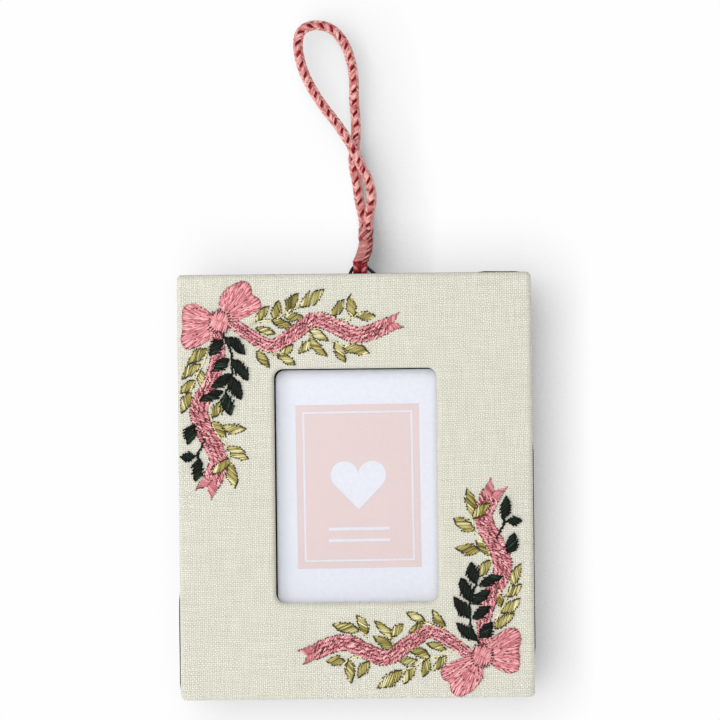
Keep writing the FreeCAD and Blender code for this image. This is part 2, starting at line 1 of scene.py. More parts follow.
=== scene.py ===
import bpy
import math
from functools import partial
import numpy as np
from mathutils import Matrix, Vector


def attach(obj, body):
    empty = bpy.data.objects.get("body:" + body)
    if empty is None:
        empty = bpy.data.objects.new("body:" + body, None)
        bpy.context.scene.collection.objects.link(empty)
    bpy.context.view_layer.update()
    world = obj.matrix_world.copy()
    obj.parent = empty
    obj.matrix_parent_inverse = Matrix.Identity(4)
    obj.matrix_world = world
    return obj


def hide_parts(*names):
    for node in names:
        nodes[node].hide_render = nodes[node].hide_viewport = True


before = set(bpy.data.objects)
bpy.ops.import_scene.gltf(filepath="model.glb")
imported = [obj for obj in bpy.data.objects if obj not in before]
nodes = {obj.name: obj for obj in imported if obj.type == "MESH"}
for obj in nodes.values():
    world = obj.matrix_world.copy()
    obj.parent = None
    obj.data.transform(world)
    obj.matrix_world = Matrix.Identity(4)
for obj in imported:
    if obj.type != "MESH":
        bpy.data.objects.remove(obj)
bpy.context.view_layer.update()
bpy.context.scene.view_settings.view_transform = "Standard"

# all lengths are millimetres in the part's own frame, until a mesh is made
mm = 0.001
fullTurn = 2 * math.pi
centreX, centreZ = 9.5, -123.45
frontY = -10.6

camera = {"distance": 1100, "axisX": 10.96, "axisZ": -89.5, "lens": 204.7, "rollDegrees": 0.6}

lights = {
    "key": {"place": (-680, -1100, 40), "size": (1500, 760), "watts": 11.8},
    "fill": {"place": (60, -1400, 400), "size": (900, 900), "watts": 6.6},
    "back": {"place": (500, 1100, 500), "size": (800, 800), "watts": 7},
}
sky = {"colour": "#fefefe", "strength": 0.2}

# wall and floor: the painted shadow they hold beside the object has a reach, a lean to the light, a
# depth and a steeper part close by, and it fades where something stands behind them within behindReach
stage = {"wallY": 3.6, "floorZ": -262, "reach": 2600, "colour": "#f7f7f8", "shadeReach": 18,
         "shadeLean": (-1.6, -1.0, 0.1), "shadeDepth": 0.66, "shadeCurve": 7,
         "behindReach": 45, "behindFade": 4}

cloth = {
    "halfW": 47.625, "halfH": 57.15, "cornerR": 1.4, "windowHalfW": 21.9, "windowHalfH": 31.5,
    "windowR": 2.5, "windowX": 0.1, "windowZ": 0.2, "edgeR": 1.2, "backY": -5.62,
    "outerHem": 9, "windowHem": 5, "cornerSteps": 8, "sideSteps": 76, "rings": 44,
    "bendSteps": 8, "wallSteps": 7, "wobble": 0.05, "wobbleMost": 0.1, "waves": 14, "waveLength": 6,
}

# sizes in mm; linen threads are nearer 0.4 mm apart, and are drawn coarser so that they show
linen = {
    "pitch": 0.52, "waverSize": 2.857, "waver": (0.9, 1.1), "fuzzSize": 0.3125,
    "slubs": ((0.4545, 8.333), (10, 0.4167)),
    "crossing": 0.22, "round": 0.42, "slub": 0.36, "fuzz": 0.35,
}

cord = {
    "radius": 1.35, "threadR": 0.25, "threadsEach": 3, "spread": 0.46, "weave": 0.19,
    "core": 0.8, "coreTone": 0.12, "strands": 8, "pitch": 6.1, "step": 0.34,
    "lean": 0.22, "crowd": 0.05, "fray": 0.03, "toneSpread": 0.05, "redStrands": (0, 2),
    # relief: how much lighter a strand is painted where it lies on top, and darker as shade where it
    # dives under
    "red": {"tone": 0.06, "relief": 0.04, "speckle": 0.05},
    "pink": {"tone": 0.6, "relief": 0.12, "speckle": 0.15},
    "length": 0.1225,
    "route": [
        (13.5, -1.4, -54.2), (13.5, -1.4, -51.0), (14.8, -1.5, -46.4), (14.2, -1.5, -41.6),
        (11.7, -1.5, -36.6), (9.0, -1.5, -30.9), (5.4, -1.0, -25.3), (1.4, -0.3, -20.3),
        (-2.0, 0.0, -14.8), (-4.3, 0.0, -9.2), (-5.2, 0.0, -3.8), (-4.3, 0.0, 0.2),
        (-0.6, 0.0, 1.7), (3.8, 0.0, 0.9), (7.3, 0.0, -2.6), (9.4, 0.0, -8.0),
        (10.2, 0.0, -13.6), (10.0, 0.3, -19.3), (10.6, 0.9, -24.9), (10.4, 1.5, -30.2),
        (9.4, 1.6, -35.6), (10.7, 1.6, -41.2), (11.2, 1.5, -46.5), (12.4, 1.4, -51.2),
        (12.4, 1.4, -54.2),
    ],
}

whipping = {
    "threadR": 0.21, "pitch": 0.38, "around": 44, "tilt": 0.22, "uneven": 0.05, "woundTo": -56.6,
    "tone": 0.58, "rowSpread": 0.16, "patch": 0.1, "shadow": 0.25, "toneSpread": 0.08,
    "coreInset": 0.34, "coreTone": 0.05, "coreRows": 12,
    # height, centre x, half width, half depth
    "sections": [(-63.0, 11.3, 2.2, 2.85), (-60.2, 12.5, 2.1, 2.65), (-57.5, 12.98, 2.0, 2.65),
                 (-54.2, 12.95, 2.1, 2.85)],
    "strands": {"line": [(12.75, 0, -57.2), (12.95, 0, -55.6), (12.95, 0, -53.7)], "count": 24,
                "halfW": 1.5, "halfD": 2.1, "radius": 0.6, "twist": 2.0, "toneSpread": 0.1,
                "tones": (0.75, 0.2, 0.65, 0.7, 0.08, 0.6, 0.8, 0.3, 0.65, 0.12)},
    "end": {"line": [(14.1, -1.8, -56.6), (14.0, -2.5, -58.2), (13.8, -2.6, -59.6),
                     (13.3, -2.7, -61.2), (12.8, -2.6, -62.4), (12.3, -2.2, -63.6)], "count": 40,
            "twist": 15, "apart": 1.257, "offset": 0.42, "radius": 0.24, "toneSpread": 0.12,
            "tones": (0.02, 0.62, 0.1, 0.75, 0.3)},
}

# where the back peeks out: side, axis along it, from, to, how far
flock = {"radius": 1.45, "tucked": -0.12, "ramp": 3, "uneven": 0.05, "low": 0.05,
         "overW": 0.13, "overH": 0.02,
         "profile": ((-5.68, 0.0), (-5.62, 0.85), (-5.5, 1.0), (-5.36, 0.8), (-5.28, 0.0)),
         "peeks": [((0, 1), 0, 32, 46.5, 0.3), ((1, 0), 1, -47, 12, 0.26),
                   ((-1, 0), 1, -56, -27, 0.3)]}

# the eye is the cord's own pink painted dark, tone and coreTone alike, as painted shade under the
# ring's top
eye = {"x": 11.3, "offset": 1.03, "bend": 1.75, "centreZ": -64.15, "topZ": -63.0,
       "ply": 0.42, "plies": 4, "pitch": 3.6, "plyOut": 0.52, "tone": 0.06, "toneSpread": 0.05,
       "coreShift": 0.96, "coreTone": 0.08, "litPatchTones": (0.22, 0.62),
       # patches painted lighter where light reaches the eye: centre x and z, half width, half height
       "litPatches": [(10.2, -64.3, 1.5, 0.9), (12.5, -65.2, 1.1, 1.1)]}

# the corner motif, from its knot: base x, base z, tip x, tip z, width
oliveLeaves = [
    (9.4, -0.2, 12.9, 3.8, 2.1), (14.2, 0.5, 15.6, 5.3, 2.4), (17.8, 2.6, 20.8, 7.2, 2.7),
    (21.3, 3.7, 27.8, 8.2, 3.0), (17.2, 1.0, 21.8, 1.2, 2.1), (13.7, 0.3, 19.3, -1.7, 2.1),
    (9.4, -1.8, 14.5, -3.5, 1.9), (30.1, 1.2, 33.1, 5.4, 2.4), (35.5, 0.6, 35.0, 6.8, 2.4),
    (36.6, 1.1, 41.4, 1.0, 2.4), (9.6, -8.0, 12.8, -12.4, 2.1), (15.0, -9.2, 19.8, -11.9, 2.1),
    (15.5, -9.4, 19.3, -6.5, 1.9), (23.9, -5.5, 20.9, -8.7, 2.4), (23.9, -4.7, 28.4, -9.6, 2.1),
    (23.6, -1.7, 28.7, -5.5, 2.4), (30.6, -6.1, 33.2, -11.2, 2.4), (32.7, -7.2, 39.7, -8.9, 2.7),
    (-3.6, -7.4, -9.0, -11.3, 2.4), (-5.5, -11.6, -10.6, -15.3, 2.4),
    (-7.2, -15.9, -11.0, -19.1, 2.4), (-8.5, -18.9, -10.9, -24.5, 2.4),
    (-5.5, -13.2, -5.0, -18.4, 2.4), (-2.7, -25.6, 0.0, -21.4, 2.7),
    (0.0, -28.3, 6.4, -29.0, 2.7), (-2.7, -27.0, 1.0, -31.0, 2.7), (1.5, -33.7, 6.9, -37.0, 3.0),
    (2.0, -37.8, 3.3, -44.8, 2.7),
]
oliveOverRibbon = (1.8, -37.0, -2.8, -40.9, 2.4)
oliveStems = [
    [(8.3, -0.8), (11.0, 0.0), (14.5, 0.3), (17.2, 2.1), (20.7, 3.7)],
    [(30.1, 0.9), (33.0, -0.2), (35.2, 0.6), (36.8, 1.6)],
    [(9.6, -7.8), (10.9, -7.5), (15.0, -9.2)],
    [(23.4, -1.5), (23.9, -5.5)],
    [(30.3, -5.6), (32.7, -7.2)],
    [(-3.6, -7.4), (-4.7, -10.8), (-6.0, -13.2), (-7.2, -15.9), (-8.5, -18.9)],
    [(-3.0, -25.4), (-2.2, -28.6), (-0.6, -31.3), (1.5, -33.7), (2.0, -37.5)],
]
greenLeaves = [
    (0.2, -5.0, -3.0, -9.0, 3.0), (2.0, -10.1, -2.3, -13.3, 2.7), (2.3, -14.1, -2.6, -17.6, 2.7),
    (0.3, -18.7, -5.9, -21.3, 2.4), (1.3, -4.4, 6.4, -8.8, 2.7), (2.8, -10.4, 7.1, -15.8, 3.0),
    (2.5, -14.9, 5.2, -20.9, 3.2), (1.1, -19.5, 2.4, -25.1, 3.2), (-7.5, -27.7, -9.2, -32.8, 3.2),
    (-7.6, -36.3, -11.2, -36.3, 2.4), (-6.3, -36.9, -7.2, -42.8, 2.7),
]
greenStems = [
    [(0.5, -2.8), (1.3, -5.3), (2.6, -8.0), (2.8, -10.6), (2.8, -14.9), (1.1, -19.2)],
    [(-4.6, -31.8), (-6.6, -35.5), (-7.9, -36.3)],
    [(-6.6, -35.5), (-6.3, -37.1)],
]
leftLoop = [
    (-2.4, -0.4), (-3.1, 2.3), (-5.9, 4.2), (-8.3, 4.6), (-10.1, 3.7), (-10.4, 0.5),
    (-10.3, -1.8), (-10.8, -4.9), (-10.0, -6.9), (-8.4, -7.4), (-4.9, -6.0), (-2.3, -3.6),
]
rightLoop = [
    (1.4, 1.7), (-0.2, 3.3), (0.3, 6.8), (2.8, 9.5), (6.0, 10.8), (8.1, 9.6), (8.6, 7.2),
    (10.4, 5.9), (10.7, 3.5), (7.0, 1.4), (3.5, 0.3),
]
knotOutline = [
    (-3.1, -0.1), (-2.3, 2.1), (0.0, 2.8), (1.9, 1.8), (2.3, -0.4), (1.6, -2.5), (-0.4, -3.0),
    (-2.3, -2.2),
]
ribbons = [
    {
        "line": [(2.2, 0.4), (6.4, -2.9), (11.8, -6.3), (14.4, -6.6), (19.8, -3.3), (25.3, 0.3),
                 (30.6, -1.5), (36.0, -4.0), (41.3, -3.0), (46.7, -0.6)],
        "width": [2.4, 3.0, 3.4, 3.5, 3.7, 3.9, 4.0, 4.1, 4.2, 3.9],
        "tips": [(47.8, 1.9), (49.1, -2.0)],
    },
    {
        "line": [(-1.8, -2.6), (-0.8, -6.3), (-1.0, -10.4), (-2.8, -16.2), (-5.3, -20.8),
                 (-6.2, -24.6), (-4.6, -29.4), (-1.7, -34.8), (-1.0, -38.6), (-2.6, -42.2),
                 (-4.2, -44.4)],
        "width": [2.8, 3.4, 3.5, 3.8, 4.4, 4.8, 4.6, 4.6, 4.7, 5.4, 4.6],
        "tips": [(-3.0, -47.9), (-7.5, -45.3)],
    },
]
corners = {
    "top": {"knot": (-35.825, 44.7), "turn": 1, "seed": 5},
    "bottom": {"knot": (33.125, -45.9), "turn": -1, "seed": 11},
}


# sRGB hex to linear: c / 12.92 near black, else ((c + 0.055) / 1.055) to the power 2.4
def linear(code, alpha=1.0):
    channels = [int(code[i:i + 2], 16) / 255 for i in (1, 3, 5)]
    return tuple(c / 12.92 if c <= 0.04045 else ((c + 0.055) / 1.055) ** 2.4
                 for c in channels) + (alpha,)


# node materials

# one node with its settings; an input is a number, a hex colour, a socket, or a node whose first
# output is meant, and stops are the places and colours of a ramp
def addNode(tree, kind, inputs=(), stops=(), **settings):
    made = tree.nodes.new("ShaderNode" + kind)
    for key, value in settings.items():
        setattr(made, key, value)
    for key, value in inputs.items() if isinstance(inputs, dict) else enumerate(inputs):
        if isinstance(value, bpy.types.Node):
            value = value.outputs[0]
        if isinstance(value, bpy.types.NodeSocket):
            tree.links.new(value, made.inputs[key])
        else:
            made.inputs[key].default_value = linear(value) if isinstance(value, str) else value
    if stops:
        elements = made.color_ramp.elements
        for _ in stops[2:]:
            elements.new(0.5)
        for element, (place, colour) in zip(elements, stops):
            element.position = place
            element.color = linear(colour)
    return made


# an empty material, and the call that adds a node to it
def newMaterial(name):
    mat = bpy.data.materials.new(name)
    mat.use_nodes = True
    mat.node_tree.nodes.clear()
    return mat, partial(addNode, mat.node_tree)


# the material's surface: its shader over a relief of a strength and a depth in millimetres
def surface(node, shader, height, strength, depth):
    relief = node("Bump", {"Height": height, "Strength": strength, "Distance": depth * mm})
    node("OutputMaterial", {"Surface": node("BsdfPrincipled", {**shader, "Normal": relief})})


# ivory linen, plain woven: threads that cross, with slubs and fuzz, which the eye sees as a dry matt
# grain. Height = crossing warp weft + round (|warp| + |weft|) + slub slubs + fuzz noise, where warp and
# weft are the sine of pi times the wavering place in threads
def linenMaterial():
    mat, node = newMaterial("ivory_linen")
    uv = node("UVMap", uv_map="Cloth")
    waver = node("TexNoise", {"Vector": uv, "Scale": 1 / linen["waverSize"]})
    place = node("SeparateXYZ", [uv]).outputs
    threads, slubs = [], []
    for axis, shift, size in zip("XY", linen["waver"], linen["slubs"]):
        along = node("Math", [waver, shift, place[axis]], operation="MULTIPLY_ADD")
        angle = node("Math", [along, math.pi / linen["pitch"]], operation="MULTIPLY")
        threads.append(node("Math", [angle], operation="SINE"))
        lines = node("Mapping", {"Vector": uv, "Scale": (1 / size[0], 1 / size[1], 1)})
        slubs.append(node("TexNoise", {"Vector": lines, "Scale": 1, "Detail": 3}))
    humps = [node("Math", [each], operation="ABSOLUTE") for each in threads]
    terms = {
        "crossing": node("Math", threads, operation="MULTIPLY"),
        "round": node("Math", humps, operation="ADD"),
        "slub": node("Math", slubs, operation="ADD"),
        "fuzz": node("TexNoise", {"Vector": uv, "Scale": 1 / linen["fuzzSize"], "Detail": 3}),
    }
    height = 0.0
    for name, term in terms.items():
        height = node("Math", [term, linen[name], height], operation="MULTIPLY_ADD")
    # partly painted shade: the colour follows the weave's height, darker in the hollows between
    # threads, while slubs and fuzz vary its tone
    shade = node("Math", [height, 0.9, -0.68], operation="MULTIPLY_ADD")
    colour = node("ValToRGB", [shade], [(0.0, "#b0ae9d"), (0.35, "#d8d6c8"), (0.65, "#e5e3d6"),
                                        (1.0, "#f8f6ed")])
    surface(node, {"Base Color": colour, "Roughness": 0.88, "Sheen Weight": 0.25,
                   "Sheen Roughness": 0.5, "Specular IOR Level": 0.25}, height, 0.55, 0.16)
    return mat


# colours from dark to light, roughness, specular level and sheen
threadLooks = {
    "pink_thread": ([(0.0, "#3c0810"), (0.2, "#7b2c34"), (0.42, "#b6636a"), (0.62, "#cf8287"),
                     (0.8, "#e19b9f"), (1.0, "#f4bebe")], 0.42, 0.4, 0.15),
    "olive_thread": ([(0.0, "#241d00"), (0.2, "#4e4504"), (0.42, "#796e24"), (0.62, "#958940"),
                      (0.8, "#b5aa69"), (1.0, "#ebe4ba")], 0.42, 0.35, 0.1),
    "green_thread": ([(0.0, "#030402"), (0.35, "#080d08"), (0.6, "#101a11"), (0.8, "#1b2f20"),
                      (1.0, "#3c5640")], 0.5, 0.14, 0.0),
    "cord_thread": ([(0.0, "#5a0010"), (0.16, "#8c0a1e"), (0.32, "#a83440"), (0.5, "#bd6f6b"),
                     (0.7, "#cf908a"), (1.0, "#e8bcb2")], 0.75, 0.2, 0.05),
    "whipping_thread": ([(0.0, "#4c0512"), (0.25, "#86303a"), (0.5, "#b26a68"),
                         (0.75, "#c68a84"), (1.0, "#dcb0a6")], 0.75, 0.2, 0.05),
}


# rayon thread laid in satin stitches, or spun thread in a cord: each stitch has its own tone, held in
# the mesh together with the painted shade and light that the mesh gives it, and fibres of a seventh of
# a millimetre mottle it by 0.22 (fibre - 0.5)
def threadMaterial(name):
    mat, node = newMaterial(name)
    stops, roughness, specular, sheen = threadLooks[name]
    place = node("TexCoord").outputs["Object"]
    fibre = node("TexNoise", {"Vector": place, "Scale": 7 / mm})
    middled = node("Math", [fibre, 0.5], operation="SUBTRACT")
    tone = node("Attribute", attribute_name="tone").outputs["Fac"]
    colour = node("ValToRGB", [node("Math", [middled, 0.22, tone], operation="MULTIPLY_ADD")],
                  stops)
    surface(node, {"Base Color": colour, "Roughness": roughness, "Sheen Weight": sheen,
                   "Specular IOR Level": specular}, fibre, 0.3, 0.05)
    return mat


# short black flock: dull, with a faint grey sheen at a glance. Shade = 0.6 patches of 11 mm, where it
# is brushed, + 0.5 fibres of a sixth of a millimetre
def flockMaterial():
    mat, node = newMaterial("black_flock")
    place = node("TexCoord").outputs["Object"]
    patches = node("TexNoise", {"Vector": place, "Scale": 0.09 / mm, "Detail": 3})
    fibres = node("TexNoise", {"Vector": place, "Scale": 6 / mm})
    brushed = node("Math", [patches, 0.6], operation="MULTIPLY")
    shade = node("Math", [fibres, 0.5, brushed], operation="MULTIPLY_ADD")
    colour = node("ValToRGB", [shade], [(0.25, "#161214"), (0.8, "#2f282b")])
    surface(node, {"Base Color": colour, "Roughness": 0.95, "Sheen Weight": 0.5,
                   "Sheen Roughness": 0.35, "Sheen Tint": "#6a6064", "Specular IOR Level": 0.15},
            fibres, 0.7, 0.12)
    return mat


# dark and light colour, roughness, size of the grain in mm, relief
cardLooks = {
    # black card round the window, which also stands in for the shade inside the window's left and top
    # edges
    "black_card": ("#0c0a0b", "#2a2422", 0.9, 0.4, 0.5),
    "white_card": ("#d9dbe3", "#dfe1e9", 0.6, 1.25, 0.1),
    "pink_print": ("#d6c5c4", "#dccbca", 0.6, 0.4545, 0.1),
    "wadding": ("#dcdad2", "#f2f1ec", 0.95, 0.8333, 0.6),
    "fibreboard": ("#8d714f", "#b39873", 0.9, 0.5556, 0.4),
    "grey_card": ("#7d7a76", "#9b9894", 0.9, 0.6667, 0.3),
}


# card, printed paper, wadding or fibreboard: dull, with the fine mottle of pressed fibres, whose
# noise runs from the dark colour to the light one
def cardMaterial(name):
    mat, node = newMaterial(name)
    dark, light, roughness, grain, strength = cardLooks[name]
    mottle = node("TexNoise", {"Vector": node("TexCoord").outputs["Object"],
                               "Scale": 1 / (grain * mm), "Detail": 4, "Roughness": 0.6})
    colour = node("ValToRGB", [mottle], [(0.3, dark), (0.7, light)])
    surface(node, {"Base Color": colour, "Roughness": roughness, "Specular IOR Level": 0.3},
            mottle, strength, 0.05)
    return mat


# black lacquer dipped over wire and sheet metal: glossy, with waves about 0.7 mm wide
def lacquerMaterial():
    mat, node = newMaterial("black_lacquer")
    waves = node("TexNoise", {"Vector": node("TexCoord").outputs["Object"], "Scale": 1.4 / mm,
                              "Detail": 3})
    surface(node, {"Base Color": "#020202", "Roughness": 0.12, "Specular IOR Level": 0.12},
            waves, 0.12, 0.08)
    return mat


# thin clear sheet of plastic: lets the light through and mirrors 0.8 of its Fresnel share
def clearMaterial():
    mat, node = newMaterial("clear_plastic")
    share = node("Math", [node("Fresnel", {"IOR": 1.4}), 0.8], operation="MULTIPLY")
    through = node("BsdfTransparent", {"Color": "#ffffff"})
    gloss = node("BsdfGlossy", {"Color": "#ffffff", "Roughness": 0.08})
    node("OutputMaterial", {"Surface": node("MixShader", [share, through, gloss])})
    return mat


# pale matt wall or floor for the light, which the camera sees as the white of the sky less a painted
# shadow, drawn from ambient occlusion leaned to the light: dark = depth (1 - openness), shade = (dark +
# curve dark cubed) times how clear it is behind, so that the backdrop hides and darkens nothing of the
# object at any pose or from the back
def backdropMaterial(name, lean):
    mat, node = newMaterial(name)
    depth, fade = stage["shadeDepth"], stage["behindFade"]
    way = node("CombineXYZ", list(Vector(lean).normalized()))
    nearby = node("AmbientOcclusion", {"Distance": stage["shadeReach"] * mm, "Normal": way},
                  samples=16).outputs["AO"]
    dark = node("Math", [nearby, -depth, depth], operation="MULTIPLY_ADD")
    cubed = node("Math", [dark, 3.0], operation="POWER")
    shade = node("Math", [cubed, stage["shadeCurve"], dark], operation="MULTIPLY_ADD")
    behind = node("AmbientOcclusion", {"Distance": stage["behindReach"] * mm}, samples=16,
                  inside=True).outputs["AO"]
    clear = node("Math", [behind, fade, 1 - fade], operation="MULTIPLY_ADD")
    clear = node("Math", [clear, 0.0], operation="MAXIMUM")
    loss = node("Math", [shade, clear], operation="MULTIPLY")
    left = node("Math", [1.0, loss], operation="SUBTRACT")
    through = node("BsdfTransparent", {"Color": node("Math", [left, 0.0], operation="MAXIMUM")})
    matt = node("BsdfPrincipled", {"Base Color": stage["colour"], "Roughness": 0.9})
    seen = node("LightPath").outputs["Is Camera Ray"]
    node("OutputMaterial", {"Surface": node("MixShader", [seen, matt, through])})
    return mat


# meshes

# mesh object at the origin from points and four-cornered faces; a repeated last corner makes a triangle
def makeMesh(name, points, faces, mat, tone=None, uv=None, smooth=True):
    mesh = bpy.data.meshes.new(name)
    points = np.asarray(points, dtype=np.float64) * mm
    faces = np.asarray(faces, dtype=np.int64)
    mesh.from_pydata(points.tolist(), [], [f[:3] if f[2] == f[3] else f for f in faces.tolist()])
    if smooth:
        mesh.shade_smooth()
    if tone is not None:
        layer = mesh.attributes.new("tone", "FLOAT", "POINT")
        layer.data.foreach_set("value", np.asarray(tone, dtype=np.float32))
    if uv is not None:
        layer = mesh.uv_layers.new(name="Cloth")
        flat = np.asarray(uv, dtype=np.float32)[faces.reshape(-1)]
        layer.data.foreach_set("uv", flat.reshape(-1))
    mesh.materials.append(mat)
    mesh.update()
    obj = bpy.data.objects.new(name, mesh)
    bpy.context.scene.collection.objects.link(obj)
    return obj


# quads between neighbouring rows of a grid of points; closed joins each row's ends
def gridFaces(rows, columns, closed):
    last = columns if closed else columns - 1
    r, c = np.meshgrid(np.arange(rows - 1), np.arange(last), indexing="ij")
    n = (c + 1) % columns
    return np.stack([r * columns + c, r * columns + n, (r + 1) * columns + n,
                     (r + 1) * columns + c], -1).reshape(-1, 4)


# triangles from a ring of points, of which the first is given, to its tip
def fanFaces(first, count, tip):
    i = np.arange(count)
    tips = np.full(count, tip)
    return np.stack([first + i, first + (i + 1) % count, tips, tips], 1)


# rounded rectangle and its outward normals: corner + radius (cos a, sin a) for a quarter turn, then
# straight to the next corner; the number of points is always the same
def roundedLoop(halfW, halfH, radius, x=0.0, z=0.0):
    radius = max(radius, 0.05)
    steps, side = cloth["cornerSteps"], cloth["sideSteps"]
    corner = np.array([(1, 1), (-1, 1), (-1, -1), (1, -1)]) * (halfW - radius, halfH - radius)
    a = math.pi / 2 * (np.arange(4)[:, None] + np.arange(steps) / (steps - 1))
    out = np.stack([np.cos(a), np.sin(a)], -1)
    arc = corner[:, None] + radius * out
    start = arc[:, -1:]
    ahead = np.roll(corner, -1, 0)[:, None] + radius * out[:, -1:]
    straight = start + (ahead - start) * (np.arange(1, side) / side)[:, None]
    points = np.concatenate([arc, straight], 1).reshape(-1, 2)
    normals = np.concatenate([out, np.repeat(out[:, -1:], side - 1, 1)], 1).reshape(-1, 2)
    return points + (x, z), normals


# length run along a line up to each of its points
def runAlong(line):
    return np.r_[0, np.cumsum(np.linalg.norm(np.diff(line, axis=0), axis=1))]


# the same line at evenly spaced places along its length
def spaced(line, count, closed=False):
    run = runAlong(line)
    place = np.linspace(0, run[-1], count + 1 if closed else count)[:count]
    return np.stack([np.interp(place, run, line[:, i]) for i in range(line.shape[1])], 1)


# Catmull-Rom curve through the points, evenly spaced: half of 2b + (c - a) t
# + (2a - 5b + 4c - d) t squared + (3b - a - 3c + d) t cubed between each b and c
def smoothLine(points, count, closed=False):
    p = np.asarray(points, dtype=float)
    before, after = (p[-1:], p[:2]) if closed else (2 * p[:1] - p[1], 2 * p[-1:] - p[-2])
    p = np.vstack([before, p, after])
    a, b, c, d = (p[i:len(p) - 3 + i, None] for i in range(4))
    t = np.linspace(0, 1, 16, endpoint=False)[:, None]
    curve = 0.5 * (2 * b + (c - a) * t + (2 * a - 5 * b + 4 * c - d) * t ** 2
                   + (3 * b - a - 3 * c + d) * t ** 3)
    return spaced(np.vstack([curve.reshape(-1, p.shape[1]), p[-2:-1]]), count, closed)


# tangent and two normals at each point of a path: each side is the one before it, less its share along
# the new tangent, so the frames turn as little as can be
def framesAlong(path):
    tangent = np.gradient(path, axis=0)
    tangent /= np.linalg.norm(tangent, axis=1)[:, None]
    side = np.zeros_like(path)
    side[0] = np.cross(tangent[0], (0, 1, 0))
    side[0] /= np.linalg.norm(side[0])
    for i in range(1, len(path)):
        moved = side[i - 1] - tangent[i] * np.dot(side[i - 1], tangent[i])
        side[i] = moved / np.linalg.norm(moved)
    return tangent, side, np.cross(tangent, side)


# direction across a path at each turn: side cos + up sin
def spoke(side, up, turn):
    return side * np.cos(turn)[:, None] + up * np.sin(turn)[:, None]


# round tube: path + radius (side cos a + up sin a); outward says which way up is
def tubeMesh(path, radii, around=6, outward=None):
    tangent, side, up = framesAlong(path)
    if outward is not None:
        up = outward - tangent * np.sum(outward * tangent, axis=1)[:, None]
        up /= np.linalg.norm(up, axis=1)[:, None]
        side = np.cross(up, tangent)
    a = np.linspace(0, fullTurn, around, endpoint=False)[:, None]
    radii = np.broadcast_to(radii, len(path))[:, None, None]
    points = path[:, None] + (side[:, None] * np.cos(a) + up[:, None] * np.sin(a)) * radii
    return points.reshape(-1, 3), gridFaces(len(path), around, True)


# several (points, faces, tone) as one, with the faces counted on
def joined(parts):
    points, faces, tones, start = [], [], [], 0
    for p, f, t in parts:
        points.append(p)
        faces.append(np.asarray(f) + start)
        tones.append(np.broadcast_to(t, len(p)))
        start += len(p)
    return np.vstack(points), np.vstack(faces), np.concatenate(tones)


# camera, stage and lights

# long lens, square to the wall and rolled a little, as in the photo
def makeCamera():
    data = bpy.data.cameras.new("camera")
    data.sensor_width, data.lens = 36, camera["lens"]
    data.clip_start, data.clip_end = 0.05, 20
    obj = bpy.data.objects.new("camera", data)
    place = (camera["axisX"], frontY - camera["distance"], camera["axisZ"])
    obj.location = tuple(c * mm for c in place)
    obj.rotation_euler = (math.pi / 2, math.radians(camera["rollDegrees"]), 0)
    bpy.context.scene.collection.objects.link(obj)
    bpy.context.scene.camera = obj


# soft box that looks at the target
def addLight(name, light, target):
    data = bpy.data.lights.new(name, "AREA")
    data.shape = "RECTANGLE"
    data.size, data.size_y = (side * mm for side in light["size"])
    data.energy = light["watts"]
    obj = bpy.data.objects.new(name, data)
    here, there = np.array(light["place"], dtype=float), np.array(target, dtype=float)
    obj.location = tuple(here * mm)
    obj.rotation_euler = Vector(there - here).to_track_quat("-Z", "Y").to_euler()
    bpy.context.scene.collection.objects.link(obj)


# plain sky: full white where the camera, gloss or glass looks at it, and dim as a light
def makeWorld():
    world = bpy.data.worlds.new("studio")
    world.use_nodes = True
    node = partial(addNode, world.node_tree)
    ray = node("LightPath").outputs
    strength = sky["strength"]
    for kind in ("Is Camera Ray", "Is Glossy Ray", "Is Transmission Ray"):
        strength = node("Math", [ray[kind], strength], operation="MAXIMUM")
    background = world.node_tree.nodes["Background"]
    background.inputs["Color"].default_value = linear(sky["colour"])
    world.node_tree.links.new(strength.outputs[0], background.inputs["Strength"])
    bpy.context.scene.world = world


# wall and floor, the sky, and the lights round the object's middle
def makeStage():
    reach, y, low = stage["reach"], stage["wallY"], stage["floorZ"]
    wall = makeMesh("wall", [(-reach, y, low), (reach, y, low), (reach, y, reach), (-reach, y, reach)],
                    [(0, 1, 2, 3)], backdropMaterial("pale_wall", stage["shadeLean"]), smooth=False)
    wall.visible_shadow = False
    floor = makeMesh("floor", [(-reach, -reach, low), (reach, -reach, low), (reach, reach, low),
                               (-reach, reach, low)],
                     [(0, 1, 2, 3)], backdropMaterial("pale_floor", (0, 0, 1)), smooth=False)
    makeWorld()
    for name, light in lights.items():
        addLight(name, light, (centreX, 0, centreZ))


# cord, eye and whipping

# the cord's centre line: a quadratic spline near its route, at even steps
def routeCurve():
    data = bpy.data.curves.new("route", "CURVE")
    data.dimensions = "3D"
    data.resolution_u = 24
    spline = data.splines.new("NURBS")
    spline.points.add(len(cord["route"]) - 1)
    for point, place in zip(spline.points, cord["route"]):
        point.co = tuple(c * mm for c in place) + (1,)
    spline.order_u = 3
    spline.use_endpoint_u = True
    obj = bpy.data.objects.new("route", data)
    mesh = bpy.data.meshes.new_from_object(obj)
    line = np.array([v.co for v in mesh.vertices]) / mm
    bpy.data.objects.remove(obj)
    return spaced(line, int(runAlong(line)[-1] / cord["step"]))
